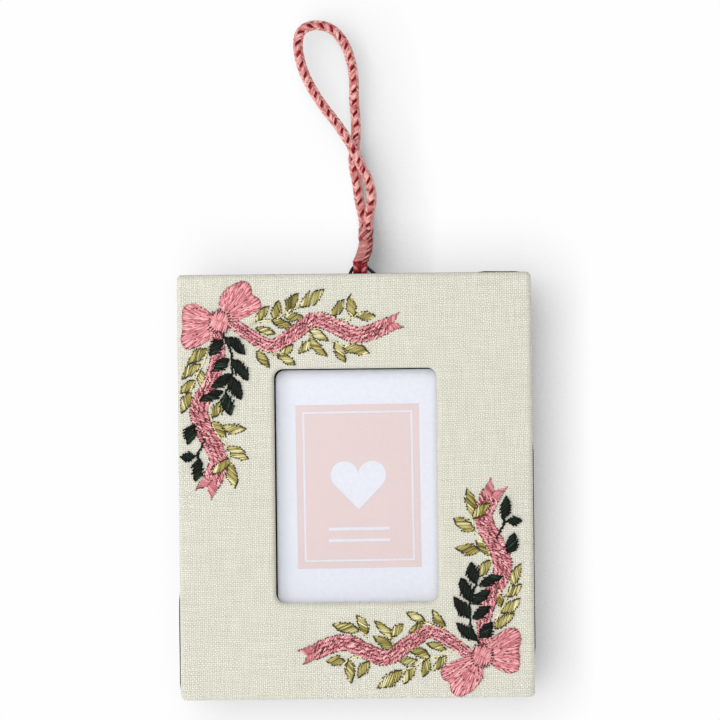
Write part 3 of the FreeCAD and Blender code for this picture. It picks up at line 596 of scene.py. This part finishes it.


# strands that wind both ways: radius = middle + weave over, where over = way (-cos(2 turn) - lean), so
# that one way lies on top before and behind, and the other way at the sides. The tone adds over relief,
# so each strand is painted lighter where it lies on top and darker, as painted shade, where it dives
# under
def braid(line, rng):
    _, side, up = framesAlong(line)
    run = runAlong(line)
    parts = []
    half = cord["strands"] // 2
    middle = cord["radius"] - cord["threadR"] - cord["weave"]
    for k in range(cord["strands"]):
        way = 1 if k < half else -1
        for j in range(cord["threadsEach"]):
            yarn = cord["red"] if k in cord["redStrands"] and j > 0 else cord["pink"]
            shift = (j - (cord["threadsEach"] - 1) / 2) * cord["spread"]
            turn = way * (fullTurn * run / cord["pitch"]) + fullTurn * k / half + shift
            over = way * (-np.cos(2 * turn) - cord["lean"])
            base = yarn["tone"] + cord["toneSpread"] * rng.standard_normal()
            radius = middle + cord["weave"] * over - cord["crowd"] * abs(shift)
            radius = radius + cord["fray"] * rng.standard_normal(len(run))
            points, faces = tubeMesh(line + spoke(side, up, turn) * radius[:, None],
                                     cord["threadR"])
            speckle = np.convolve(rng.standard_normal(len(run)), (0.6, 0.8, 0.6), "same")
            # painted light and shade: lighter where the strand lies over, darker where it dives under
            tone = base + np.repeat(over * yarn["relief"] + speckle * yarn["speckle"], 6)
            parts.append((points, faces, tone))
    return joined(parts + [(*tubeMesh(line, cord["core"], 10), cord["coreTone"])])


# the cord's loop, with the whipping and the eye that bind its ends
def makeCord():
    rng = np.random.default_rng(3)
    line = routeCurve()
    points, faces, tone = braid(line, rng)
    mat = threadMaterial("cord_thread")
    obj = makeMesh("braided_cord", points, faces, mat, tone)
    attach(obj, "hanger")
    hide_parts("hanging_cord")
    bound = makeWhipping(rng)
    loops = makeEye(mat, rng)


# oval round the cord ends at each height and angle: centre + (half width - inset) (cos, sin), pushed
# apart front and back where it is deeper than wide; sections are joined by straight lines
def whippingRing(z, angle, inset):
    sections = np.array(whipping["sections"])
    x, halfW, halfD = (np.interp(z, sections[:, 0], sections[:, i]) for i in (1, 2, 3))
    apart = np.clip(halfD - halfW, 0, None) * np.clip(np.sin(angle) * 3, -1, 1)
    return np.stack([x + (halfW - inset) * np.cos(angle),
                     (halfW - inset) * np.sin(angle) + apart, z], -1)


# thread wound tightly round the cord ends, over a dark core: height = low + pitch turns + tilt cos. Its
# tone is painted darker on the side turned from the light, as painted shadow
def makeWhipping(rng):
    w = whipping
    low, high, top = w["sections"][0][0], w["woundTo"], w["sections"][-1][0]
    a = np.linspace(0, fullTurn, w["around"], endpoint=False)
    turns = (high - low - 2 * w["threadR"]) / w["pitch"]
    angle = np.arange(int(turns * len(a))) * (a[1] - a[0])
    turned = angle / fullTurn
    z = low + w["threadR"] + turned * w["pitch"]
    z = z + w["tilt"] * np.cos(angle) * np.clip((z - low) * (high - z), 0, 1)
    uneven = w["uneven"] * rng.standard_normal(int(turns) + 2)
    rows = np.arange(len(uneven))
    path = whippingRing(z, angle, w["threadR"] - np.interp(turned, rows, uneven))
    outward = np.stack([np.cos(angle), np.sin(angle), np.zeros(len(angle))], 1)
    points, faces = tubeMesh(path, w["threadR"], 6, outward)
    rowTone = w["tone"] + w["rowSpread"] * rng.standard_normal(len(uneven))
    tone = np.interp(turned, rows, rowTone) + w["patch"] * np.sin(angle * 0.61 + 1.0)
    # painted shadow: darker by shadow cos(angle - 0.4) on the side turned from the light
    tone = tone - w["shadow"] * np.clip(np.cos(angle - 0.4), 0, 1)
    tone = np.repeat(tone + w["toneSpread"] * rng.standard_normal(len(angle)), 6)
    zz, aa = np.meshgrid(np.linspace(low, top, w["coreRows"]), a, indexing="ij")
    core = whippingRing(zz, aa, w["coreInset"])
    tips = len(a) * w["coreRows"] + np.arange(2)
    coreFaces = np.vstack([gridFaces(w["coreRows"], len(a), True), fanFaces(0, len(a), tips[0]),
                           fanFaces(tips[0] - len(a), len(a), tips[1])])
    corePoints = np.vstack([core.reshape(-1, 3), core[0].mean(0), core[-1].mean(0)])
    parts = [(points, faces, tone), (corePoints, coreFaces, w["coreTone"])] + looseStrands(rng)
    points, faces, tone = joined(parts)
    obj = makeMesh("whipping", points, faces, threadMaterial("whipping_thread"), tone)
    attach(obj, "hanger")
    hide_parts("cord_whipping")
    return obj


# the cord ends above the wound thread, thinner at their tips, in an oval that twists; and one twisted
# strand that runs down beside it, with its plies on spokes round its line
def looseStrands(rng):
    loose, end = whipping["strands"], whipping["end"]
    count = loose["count"]
    middle = smoothLine(loose["line"], count)
    share = np.linspace(0, 1, count)
    taper = np.clip(1 - (2 * share - 1) ** 4, 0.04, 1) ** 0.5
    parts = []
    for k, base in enumerate(loose["tones"]):
        turn = fullTurn * k / len(loose["tones"]) + loose["twist"] * (share - 0.5)
        ring = np.stack([loose["halfW"] * np.cos(turn), loose["halfD"] * np.sin(turn),
                         np.full(count, rng.uniform(-0.25, 0.25))], 1)
        points, faces = tubeMesh(middle + ring, loose["radius"] * taper, 8)
        tone = base + loose["toneSpread"] * rng.standard_normal(count)
        parts.append((points, faces, np.repeat(tone, 8)))
    line = smoothLine(end["line"], end["count"])
    _, side, up = framesAlong(line)
    turn = np.linspace(0, end["twist"], len(line))
    for k, base in enumerate(end["tones"]):
        out = spoke(side, up, turn + k * end["apart"])
        points, faces = tubeMesh(line + out * end["offset"], end["radius"])
        tone = base + end["toneSpread"] * rng.standard_normal(len(line))
        parts.append((points, faces, np.repeat(tone, 6)))
    return parts


# two strands under the ring's top and up into the whipping, each of plies on spokes that turn with the
# run. The cord's pink is painted dark there, as painted shade, and patches painted lighter where light
# reaches it add exp(-distance squared) to the tone
def makeEye(mat, rng):
    parts = []
    for sideSign in (-1, 1):
        x = eye["x"] + sideSign * eye["offset"]
        bend = np.linspace(math.pi, fullTurn, 40)
        arc = np.stack([np.full(40, x), eye["bend"] * np.cos(bend),
                        eye["centreZ"] + eye["bend"] * np.sin(bend)], 1)
        rise = np.linspace(eye["topZ"], eye["centreZ"], 10, endpoint=False)
        front = np.stack([np.full(10, x), np.full(10, -eye["bend"]), rise], 1)
        line = np.vstack([front, arc, front[::-1] * (1, -1, 1)])
        _, side, up = framesAlong(line)
        run = runAlong(line)
        for k in range(eye["plies"]):
            turn = fullTurn * (run / eye["pitch"] * sideSign + k / eye["plies"])
            points, faces = tubeMesh(line + spoke(side, up, turn) * eye["plyOut"], eye["ply"], 8)
            tone = eye["tone"] + eye["toneSpread"] * np.repeat(rng.standard_normal(len(line)), 8)
            for litX, litZ, wide, high in eye["litPatches"]:
                away = ((points[:, 0] - litX) / wide) ** 2 + ((points[:, 2] - litZ) / high) ** 2
                tone = tone + eye["litPatchTones"][k % 2] * np.exp(-away)
            parts.append((points, faces, tone))
        middle = line + np.array([(eye["x"] - x) * eye["coreShift"], 0, 0])
        parts.append((*tubeMesh(middle, eye["ply"], 8), eye["coreTone"]))
    points, faces, tone = joined(parts)
    obj = makeMesh("cord_eye_strands", points, faces, mat, tone)
    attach(obj, "hanger")
    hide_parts("cord_eye")
    return obj


# cloth

# a row of the cloth beside the window: its loop, its depth, and where it lies when the cloth is flat
def windowRow(offset, y, run):
    c = cloth
    loop, normal = roundedLoop(c["windowHalfW"] + offset, c["windowHalfH"] + offset,
                               c["windowR"] + offset, c["windowX"], c["windowZ"])
    return loop, y, loop - normal * run


# the same beside the outer edge
def outerRow(offset, y, run):
    c = cloth
    loop, normal = roundedLoop(c["halfW"] - offset, c["halfH"] - offset, c["cornerR"] - offset)
    return loop, y, loop + normal * run


# one piece of cloth from the window's hem, over the front and round to the outer hem: rounded loops
# that run over edges of radius r, waved by a sum of sines over the front
def makeCloth(mat):
    c = cloth
    r, quarter = c["edgeR"], math.pi / 2
    depth = c["backY"] - frontY
    bends = np.linspace(0, quarter, c["bendSteps"])
    rows = [windowRow(offset, c["backY"], depth + 2 * offset)
            for offset in (c["windowHem"], 2.5, 0.6, 0.2)]
    rows += [windowRow(0.0, y, y - frontY)
             for y in np.linspace(c["backY"] - 0.2, frontY + r, c["wallSteps"])]
    rows += [windowRow(r - r * math.cos(a), frontY + r - r * math.sin(a), (1 - a / quarter) * r)
             for a in bends[1:]]
    inner = rows[-1][0]
    outer = roundedLoop(c["halfW"] - r, c["halfH"] - r, c["cornerR"] - r)[0]
    for t in np.linspace(0, 1, c["rings"] + 1)[1:-1]:
        loop = inner + (outer - inner) * t
        rows.append((loop, frontY, loop))
    rows += [outerRow(r - r * math.cos(a), frontY + r - r * math.sin(a), (1 - a / quarter) * r)
             for a in np.linspace(quarter, 0, c["bendSteps"])]
    rows += [outerRow(0.0, y, y - frontY)
             for y in np.linspace(frontY + r, c["backY"] - 0.2, c["wallSteps"])[1:]]
    rows += [outerRow(offset, c["backY"], depth + offset)
             for offset in (0.2, 0.6, 3.0, 6.0, c["outerHem"])]
    place = np.stack([loop for loop, _, _ in rows])
    y = np.array([depthY for _, depthY, _ in rows])[:, None]
    uv = np.vstack([flat for _, _, flat in rows])
    rng = np.random.default_rng(8)
    waves = [(rng.uniform(0.04, 0.3), rng.uniform(0, fullTurn), rng.uniform(0, 6.28))
             for _ in range(c["waves"])]
    sag = sum(np.sin(f * 6.28 * (place[..., 0] * math.cos(way) + place[..., 1] * math.sin(way))
                     / c["waveLength"] + ph) for f, way, ph in waves) / c["waves"] ** 0.5
    shift = np.clip(c["wobble"] * sag, -c["wobbleMost"], c["wobbleMost"])
    points = np.stack([place[..., 0] + centreX, y + shift, place[..., 1] + centreZ], -1)
    faces = gridFaces(len(rows), place.shape[1], True)[:, ::-1]
    obj = makeMesh("linen_cover", points.reshape(-1, 3), faces, mat, uv=uv)
    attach(obj, "frame")
    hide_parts("front_fabric")


# embroidery

thread = {
    "satinWidth": 0.46, "satinStep": 0.44, "bowWidth": 0.5, "bowStep": 0.35,
    "fillWidth": 0.5, "fillStep": 0.6, "rise": 0.26, "padHeight": 0.06,
}
# one stitch: places along it with their lift, width and painted shade, darker at its ends where it
# dives into the cloth, and across it with lift and painted shade, darker at its sides in the creases
stitchForm = {
    "along": (0, 0.12, 0.5, 0.88, 1.0), "lift": (0.1, 0.8, 1.0, 0.8, 0.1),
    "thin": (0.55, 0.95, 1.0, 0.95, 0.55), "endShade": (-0.34, -0.05, 0.04, -0.05, -0.34),
    "across": (-1, -0.6, 0, 0.6, 1), "crown": (0.05, 0.78, 1.0, 0.78, 0.05),
    "sideShade": (-0.2, -0.04, 0.05, -0.04, -0.2),
}


# collects stitches as raised strips and pads as flat shapes, in the motif's own plane
class Stitches:

    def __init__(self, corner):
        self.corner = corner
        self.rng = np.random.default_rng(corner["seed"])
        self.lines = []
        self.flats = []

    # motif to part: turned by half a turn or none, and moved to the corner's knot
    def place(self, xz):
        turned = np.asarray(xz, dtype=float) * self.corner["turn"]
        return turned + self.corner["knot"] + (centreX, centreZ)

    # stitches from each a to its b; base and rise are heights above the cloth, and creaseShade scales
    # the painted shade at their ends and sides
    def add(self, a, b, width, base, rise, tone, creaseShade=1.0):
        a, b = np.atleast_2d(a), np.atleast_2d(b)
        values = [np.broadcast_to(v, len(a)) for v in (width, base, rise, tone, creaseShade)]
        self.lines.append(np.column_stack([self.place(a), self.place(b)] + values))

    # small stitches round the kept ones of the spots, from back to ahead of each
    def dots(self, keep, spots, back, ahead, *look):
        self.add((spots - back)[keep], (spots + ahead)[keep], *look)

    # a flat shape under stitches, as high as is said, whose darker tone shows between them as painted
    # shade
    def pad(self, outline, height, tone):
        self.flats.append((self.place(outline), height, tone))

    # strips = a + (b - a) along + across width / 2, raised by base + rise lift crown, with painted
    # shade at each stitch's ends and sides; pads are walls and a top that closes on the middle
    def build(self, name, mat, slotName, replaced):
        form = {key: np.array(value) for key, value in stitchForm.items()}
        rows = np.vstack(self.lines)
        a, b = rows[:, 0:2], rows[:, 2:4]
        width, base, rise, tone, creaseShade = rows[:, 4:, None, None].transpose(1, 0, 2, 3)
        way = (b - a) / np.maximum(np.linalg.norm(b - a, axis=1)[:, None], 1e-6)
        beside = np.stack([-way[:, 1], way[:, 0]], 1)[:, None, None]
        spot = (a[:, None] + (b - a)[:, None] * form["along"][:, None])[:, :, None]
        spot = spot + (beside * (form["thin"][:, None] * form["across"])[..., None]
                       * width[..., None] / 2)
        height = base + rise * form["lift"][:, None] * form["crown"]
        # painted shade: the tone is darker at each stitch's ends and sides, scaled by creaseShade
        shade = tone + (form["endShade"][:, None] + form["sideShade"]) * creaseShade
        points = np.stack([spot[..., 0], frontY - height, spot[..., 1]], -1)
        faces = gridFaces(5, 5, False) + (np.arange(len(rows)) * 25)[:, None, None]
        parts = [(points.reshape(-1, 3), faces.reshape(-1, 4), shade.ravel())]
        for outline, high, shade in self.flats:
            count = len(outline)
            middle = outline.mean(0)
            ring = np.vstack([outline, outline, outline + (middle - outline) * 0.5, middle[None]])
            y = np.r_[np.full(count, 0.0), np.full(2 * count + 1, high)]
            flat = np.stack([ring[:, 0], frontY - y, ring[:, 1]], 1)
            faces = np.vstack([gridFaces(3, count, True), fanFaces(2 * count, count, 3 * count)])
            parts.append((flat, faces, shade))
        points, faces, tone = joined(parts)
        obj = makeMesh(name, points, faces, mat, tone)
        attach(obj, "frame")
        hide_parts(*replaced)
        return obj


leaf = {"bend": 0.07, "toneSpread": 0.05, "packing": 1.04, "ragged": 0.32, "stitchSpread": 0.13,
        "tipWidth": 0.34, "holes": 0.85, "holeWidth": 0.42}


# bent, pointed leaf: middle = start + t axis + 4 bend t (1 - t) across, half width = 2 width t (1 - t)
# (1.15 - 0.3 t), so it is widest before its middle
def leafShape(entry, bend):
    start, tip, width = np.array(entry[:2]), np.array(entry[2:4]), entry[4]
    axis = tip - start
    length = np.linalg.norm(axis)
    axis = axis / length
    across = np.array([-axis[1], axis[0]])

    def at(t, share):
        t = np.clip(t, 0.0, 1.0)
        swell = 4 * t * (1 - t)
        half = width / 2 * swell * (1.15 - 0.3 * t)
        return start + np.outer(t * length, axis) + np.outer(bend * length * swell + half * share,
                                                             across)

    return at, length, width


# slanting satin stitches with ragged ends over a dark pad, which shows between them as painted shade,
# and needle holes at the edge, painted as dark dots of shade
def stitchLeaf(work, entry, base, tone, edgeShadeTone, lean):
    rng = work.rng
    tone = tone + leaf["toneSpread"] * rng.standard_normal()
    at, length, width = leafShape(entry, rng.uniform(-leaf["bend"], leaf["bend"]))
    edge = np.linspace(0.03, 0.97, 12)
    high = base + thread["padHeight"]
    # dark pad: painted shade where it shows between the stitches
    work.pad(np.vstack([at(edge, 0.9), at(edge[::-1], -0.9)]), high, edgeShadeTone)
    count = max(7, int(length * leaf["packing"] / thread["satinStep"]))
    t = (np.arange(count) + 0.5) / count
    slant = lean * width / length * np.sin(math.pi * t)
    reach = 1 + rng.uniform(-0.6, 1.0, (2, count)) * leaf["ragged"]
    first = at(t + slant, reach[0])
    second = at(t - slant, -reach[1])
    tail, tip = at(np.array([0.8]), 0.2), at(np.array([1.0]), 0)
    flick = tip + (tip - tail) * rng.uniform(0.1, 0.4)
    shade = tone + leaf["stitchSpread"] * rng.standard_normal(count)
    shade = shade + 0.1 * np.sin(t * 7 + rng.uniform(0, 6))
    work.add(first, second, thread["satinWidth"], high, thread["rise"], shade)
    work.add(tail, flick, leaf["tipWidth"], high, thread["rise"] * 0.8, tone - 0.05)
    # needle holes at both ends of the stitches, painted as dark dots of shade
    for ends, others in ((first, second), (second, first)):
        aim = ends - others
        aim /= np.maximum(np.linalg.norm(aim, axis=1), 0.1)[:, None]
        keep = rng.random(count) < leaf["holes"]
        work.dots(keep, ends, aim * 0.22, aim * 0.26, leaf["holeWidth"], base + 0.12, 0.26,
                  edgeShadeTone - 0.1)


# direction along a flat line at each point, and the one across it
def alongAcross(points):
    step = np.gradient(points, axis=0)
    step /= np.linalg.norm(step, axis=1)[:, None]
    return step, np.stack([-step[:, 1], step[:, 0]], 1)


stem = {"step": 0.72, "sway": 0.14, "width": 0.54, "toneSpread": 0.1, "holes": 0.8}


# outline stitch: short overlapping stitches along a line, swayed to each side in turn, and needle holes
# painted as dark dots of shade
def stitchStem(work, line, base, tone, edgeShadeTone):
    rng = work.rng
    count = max(4, int(runAlong(np.array(line))[-1] / stem["step"]))
    points = smoothLine(line, count)
    step, across = alongAcross(points)
    half = step * 0.5 - across * (stem["sway"] * np.where(np.arange(count) % 2, 1, -1))[:, None]
    work.add(points - half, points + half, stem["width"], base + 0.05, thread["rise"],
             tone + stem["toneSpread"] * rng.standard_normal(count))
    # needle holes beside the stitches, painted dark as shade
    beside = points + across * (0.38 * rng.choice([-1, 1], count))[:, None]
    work.dots(rng.random(count) < stem["holes"], beside, step * 0.18, step * 0.18, 0.36,
              base + 0.06, 0.24, edgeShadeTone)


# how far the outline reaches from the origin in each direction: an edge that the ray's line crosses,
# where its ends lie on both sides, is met at t = side a / (side a - side b) of its length
def crossOutward(outline, angle):
    a = np.asarray(outline)
    b = np.roll(a, -1, axis=0)
    ray = np.stack([np.cos(angle), np.sin(angle)])
    normal = np.stack([-ray[1], ray[0]])
    sideA, sideB = a @ normal, b @ normal
    hit = sideA * sideB < 0
    t = sideA / np.where(hit, sideA - sideB, 1)
    met = a @ ray + (b @ ray - a @ ray) * t
    return np.where(hit, met, 0).max(0).clip(0)


# width, base, rise and tone for the small stitches; chances of a shade streak, a needle hole and a dark
# rim stitch, all painted shade between and round the stitches
bow = {
    "start": 1.9, "bands": 4, "spread": 7.4, "stagger": 0.12, "dome": 0.16, "tone": 0.74,
    "toneSpread": 0.11, "shadeStreaks": 0.22, "shadeStreak": (0.2, 0.32, 0.26, 0.2), "rimShade": 0.55,
    "holes": (0, 0.3, 0.16, 0.08), "hole": (0.34, 0.36, 0.26, 0.05),
}


# satin stitches that fan out from the knot over a pad, in bands between start and the outline, with
# staggered ends, and streaks and needle holes painted dark as shade between them; a short rim of
# stitches, some painted dark as shade, follows the outline
def stitchLoop(work, outline):
    rng, start, bands = work.rng, bow["start"], bow["bands"]
    shape = smoothLine(outline, 90, closed=True)
    # pad of a middling tone, painted shade where it shows between the stitches
    work.pad(shape * 0.97, 0.2, 0.42)
    angle = np.unwrap(np.arctan2(shape[:, 1], shape[:, 0]))
    for k in range(bands):
        pitch = thread["bowStep"] / (start + (k + 0.62) / bands * bow["spread"])
        rays = np.arange(angle.min() + 0.02, angle.max() - 0.02, pitch)
        rays = rays + rng.uniform(-0.1, 0.1, len(rays)) * pitch
        reach = crossOutward(shape, rays)
        good = reach > start + 0.8
        rays, span = rays[good], reach[good] - start
        n, last = len(rays), k == bands - 1
        near, far = rng.uniform(-bow["stagger"], bow["stagger"], (2, n))
        inner = start + (k / bands + near * (k > 0)) * span - 0.1
        outer = start + ((k + 1) / bands + far * (not last)) * span
        outer = outer + np.where(last, rng.uniform(-0.08, 0.08, n), 0.1)
        swing = rng.uniform(-0.05, 0.05, n)
        way = np.stack([np.cos(rays), np.sin(rays)], 1)
        turned = np.stack([np.cos(rays + swing), np.sin(rays + swing)], 1)
        a, b = way * inner[:, None], turned * outer[:, None]
        tone = bow["tone"] + bow["toneSpread"] * rng.standard_normal(n)
        tone = tone + 0.05 * np.sin(rays * 13 + k)
        work.add(a, b, thread["bowWidth"], 0.14 + 0.06 * rng.random(n),
                 thread["rise"] + bow["dome"] * math.sin(math.pi * (k + 0.6) / bands), tone)
        # streaks painted dark as shade beside the stitch ends
        beside = b + np.stack([-way[:, 1], way[:, 0]], 1) * 0.24
        work.dots(rng.random(n) < bow["shadeStreaks"], beside, way * 0.9, 0, *bow["shadeStreak"])
        # needle holes at the inner ends, painted as dark dots of shade
        if k:
            work.dots(rng.random(n) < bow["holes"][k], a, way * 0.22, way * 0.18, *bow["hole"])
    # rim stitches, some painted dark as shade at the edge
    edge = smoothLine(outline, 74, closed=True) * 0.985
    along = (np.roll(edge, -1, 0) - np.roll(edge, 1, 0)) * 0.21
    far = np.linalg.norm(edge, axis=1) > 3.0
    dark = rng.random(far.sum()) < bow["rimShade"]
    tone = np.where(dark, 0.2, 0.5) + 0.08 * rng.standard_normal(far.sum())
    work.dots(far, edge, along, along, 0.36, 0.03, 0.3, tone, 0.6)


knot = {"slant": 1.15, "step": 0.42, "padHeight": 0.36, "base": 0.34, "width": 0.5, "dome": 0.34,
        "tone": 0.74, "toneSpread": 0.1, "rings": ((0.94, 24), (1.1, 26)), "dark": 0.78,
        "ringStitch": (0.4, 0.46, 0.36)}


# the bow's knot: slanting satin stitches from its middle to its outline, domed by the root of
# 1 - (offset / 3) squared, over a dark pad that shows between them as painted shade, and two rings of
# dark and pale dots round it, the dark ones painted as shade in needle holes
def stitchKnot(work):
    rng = work.rng
    shape = smoothLine(knotOutline, 40, closed=True)
    work.pad(shape * 0.95, knot["padHeight"], 0.16)
    way = np.array([math.cos(knot["slant"]), math.sin(knot["slant"])])
    cross = np.array([way[1], -way[0]])
    for offset in np.arange(-2.3, 2.4, knot["step"]):
        for part in (-1, 1):
            near = shape[np.abs(shape @ cross - offset) < 0.4] @ way
            end = near.max() if part > 0 else near.min()
            tilt = rng.uniform(-0.25, 0.25)
            a = cross * (offset + tilt) + way * end * rng.uniform(0.82, 0.98)
            b = cross * (offset * 0.8) - way * part * rng.uniform(0.0, 0.3)
            crown = knot["dome"] * math.sqrt(max(0.0, 1 - (offset / 3) ** 2))
            work.add(a, b, knot["width"], knot["base"], thread["rise"] + crown,
                     knot["tone"] + knot["toneSpread"] * rng.standard_normal(), 0.7)
    for share, count in knot["rings"]:
        edge = smoothLine(knotOutline, count, closed=True) * share
        out = edge / np.linalg.norm(edge, axis=1)[:, None]
        spin = rng.uniform(-0.5, 0.5, count)
        aim = spoke(out, np.stack([-out[:, 1], out[:, 0]], 1), spin)
        aim = aim * rng.uniform(0.15, 0.35, count)[:, None]
        # dark dots: painted shade in the needle holes round the knot
        dark = rng.random(count) < knot["dark"]
        work.add(edge - aim, edge + aim, *knot["ringStitch"],
                 np.where(dark, 0.0, 0.75) + 0.1 * rng.random(count), 0.5)


fill = {"columns": 4, "slant": 0.66, "stagger": 0.16, "tone": 0.68, "toneSpread": 0.2,
        "edgeHoles": 0.6, "innerHoles": 0.85, "outerHoles": 0.3, "tailTone": 0.56, "tailHoles": 0.6}


# columns of short slanting fill stitches from share to share of the ribbon's width, over a dark pad,
# with needle holes between painted as dark dots of shade, and a forked tail whose stitches run from
# each tip to the middle
def stitchRibbon(work, ribbon):
    rng, columns = work.rng, fill["columns"]
    line = np.array(ribbon["line"])
    runs = runAlong(line)
    count = int(runs[-1] / thread["fillStep"])
    points = smoothLine(line, count)
    for _ in range(6):
        points[1:-1] = (points[:-2] + 2 * points[1:-1] + points[2:]) / 4
    half = np.interp(np.arange(count), runs / runs[-1] * (count - 1), ribbon["width"]) / 2
    step, across = alongAcross(points)
    side = across * half[:, None]
    # dark pad: painted shade where it shows between the stitches
    ribbonPad(work, points + side * 0.94, points - side * 0.94, 0.08, 0.1)
    stop = count - 4
    middle, wide, ahead = points[:stop], side[:stop], step[:stop]
    for k in range(columns):
        first, last = k == 0, k == columns - 1
        jitter = rng.uniform(-0.09, 0.09, (2, stop)) + 0.5 * (k % 2) * thread["fillStep"]
        rag = 0.5 * rng.uniform(-0.08, 0.1, stop)
        low, high = rng.uniform(-fill["stagger"], fill["stagger"], (2, stop))
        low = 2 * k / columns - 1.03 + (-rag if first else low)
        high = 2 * (k + 1) / columns - 0.97 + (rag if last else high)
        a = middle + wide * low[:, None] + ahead * (jitter[0] - fill["slant"])[:, None]
        b = middle + wide * high[:, None] + ahead * (jitter[1] + fill["slant"])[:, None]
        tone = fill["tone"] + fill["toneSpread"] * rng.standard_normal(stop)
        tone = tone + 0.05 * np.sin(np.arange(stop) * 0.31 + k)
        work.add(a, b, thread["fillWidth"], 0.09 + 0.04 * rng.random(stop), thread["rise"], tone)
        # needle holes at the stitch ends, painted as dark dots of shade
        aim = (across[:stop] + ahead * 0.5) * 0.2
        for ends, aim, chance in ((a, -aim, fill["edgeHoles" if first else "innerHoles"]),
                                  (b, aim, fill["edgeHoles" if last else "outerHoles"])):
            holes = rng.random(stop) < chance
            work.dots(holes, ends, aim, aim, rng.uniform(0.3, 0.5, holes.sum()), 0.2, 0.28,
                      0.16 * rng.random(holes.sum()), 0.3)
    for tip, edge in zip(np.array(ribbon["tips"]), (points + side, points - side)):
        for s in np.linspace(0, 1, 8):
            outer = edge[stop] + (tip - edge[stop]) * s
            inner = points[stop] + (points[-1] - points[stop]) * min(1, s * 1.2)
            if s > 0.8:
                inner = points[-1] + (tip - points[-1]) * (s - 0.8) * 4
            tone = fill["tailTone"] + 0.14 * rng.standard_normal()
            work.add(outer, inner, 0.46, 0.1, thread["rise"], tone)
            # a needle hole at the tail, painted as a dark dot of shade
            if rng.random() < fill["tailHoles"]:
                work.add(outer - step[-1] * 0.15, outer + step[-1] * 0.15, 0.32, 0.12, 0.26, 0.05)


# pad that follows a bent strip, in short straight pieces
def ribbonPad(work, left, right, height, tone):
    for i in range(0, len(left) - 4, 3):
        j = min(i + 3, len(left) - 4)
        work.pad(np.vstack([left[i:j + 1], right[i:j + 1][::-1]]), height, tone)


# lines of the stems and leaves, and how each is laid: base, tone and edge shade tone, the painted shade
# of pads and needle holes, and a leaf's lean
sprays = {
    "olive_stitching": ("olive_sprays", "olive_thread", oliveStems, (0.02, 1.0, 0.05), [
        (oliveLeaves, (0.02, 0.69, 0.14, 0.6)), ([oliveOverRibbon], (0.38, 0.69, 0.14, 0.6))]),
    "green_stitching": ("green_sprig", "green_thread", greenStems, (0.2, 0.4, 0.02), [
        (greenLeaves, (0.38, 0.5, 0.1, -0.55))]),
}


# one corner's bow, ribbons, olive sprays and green sprig, each colour a piece of its own
def makeCorner(name, corner, mats):
    pink = Stitches(corner)
    for ribbon in ribbons:
        stitchRibbon(pink, ribbon)
    for outline in (leftLoop, rightLoop):
        stitchLoop(pink, outline)
    stitchKnot(pink)
    pink.build(name + "_pink_stitching", mats["pink_thread"], "pink_thread",
               [name + "_bow_knot", name + "_bow_loops", name + "_ribbon_tails"])
    for piece, (node, slotName, stems, stemLook, leaves) in sprays.items():
        spray = Stitches(corner)
        for line in stems:
            stitchStem(spray, line, *stemLook)
        for entries, leafLook in leaves:
            for entry in entries:
                stitchLeaf(spray, entry, *leafLook)
        spray.build(name + "_" + piece, mats[slotName], slotName, [name + "_" + node])


# back cover's fuzzy edge

# a flat ring behind the cloth: its outline moves out by a bulge where the back peeks out, with waves of
# many lengths added, and is tucked in elsewhere
def makeFlockEdge(mat):
    f = flock
    rng = np.random.default_rng(21)
    count = 4 * (cloth["cornerSteps"] + cloth["sideSteps"] - 1)
    loop, normal = roundedLoop(cloth["halfW"], cloth["halfH"], f["radius"])
    turn = np.linspace(0, fullTurn, count, endpoint=False)
    waves = [(k, rng.uniform(0, 6.28), rng.uniform(0.4, 1) / k ** 0.5) for k in range(6, 60, 3)]
    uneven = sum(size * np.sin(k * turn + ph) for k, ph, size in waves)
    bulge = np.full(count, f["tucked"])
    for side, along, low, high, size in f["peeks"]:
        facing = normal @ np.array(side) > 0.9
        place = loop[:, along]
        ramped = np.clip(np.minimum(place - low, high - place) / f["ramp"], 0, 1)
        out = f["tucked"] + (size - f["tucked"]) * ramped
        bulge = np.maximum(bulge, np.where(facing, out, f["tucked"]))
    bulge = bulge + f["uneven"] * uneven * (bulge > -0.1)
    y, share = np.array(f["profile"]).T[:, :, None]
    loop, normal = roundedLoop(cloth["halfW"] + f["overW"], cloth["halfH"] + f["overH"],
                               f["radius"])
    spread = loop + normal * (bulge * share)[..., None]
    points = np.stack([spread[..., 0] + centreX, np.broadcast_to(y, spread.shape[:2]),
                       spread[..., 1] + centreZ + f["low"]], -1)
    obj = makeMesh("flock_edge", points.reshape(-1, 3), gridFaces(len(y), count, True), mat)
    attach(obj, "frame")


# everything

makeCamera()
makeCord()
print("cord done")
makeStage()
makeCloth(linenMaterial())
print("cloth done")
threadMats = {name: threadMaterial(name) for name in ("pink_thread", "olive_thread", "green_thread")}
for cornerName, cornerData in corners.items():
    makeCorner(cornerName, cornerData, threadMats)
print("embroidery done")
flockMat = flockMaterial()
makeFlockEdge(flockMat)
print("back's edge done")

lacquer, clear = lacquerMaterial(), clearMaterial()
cards = {name: cardMaterial(name) for name in cardLooks}
finishes = {
    "triangle_ring": lacquer, "ring_strap": lacquer, "strap_rivet": lacquer,
    "back_cover": flockMat, "clear_sheet": clear,
    # the black window card also stands in for the shade inside the window's left and top edges
    "window_card": cards["black_card"], "insert_card": cards["white_card"],
    "insert_print": cards["pink_print"], "front_padding": cards["wadding"],
    "front_board": cards["fibreboard"], "back_board": cards["fibreboard"],
    "pocket_spacer_left": cards["grey_card"], "pocket_spacer_right": cards["grey_card"],
    "pocket_spacer_bottom": cards["grey_card"],
}
for name, mat in finishes.items():
    for materialSlot in nodes[name].material_slots:
        materialSlot.material = mat
print("solids finished")
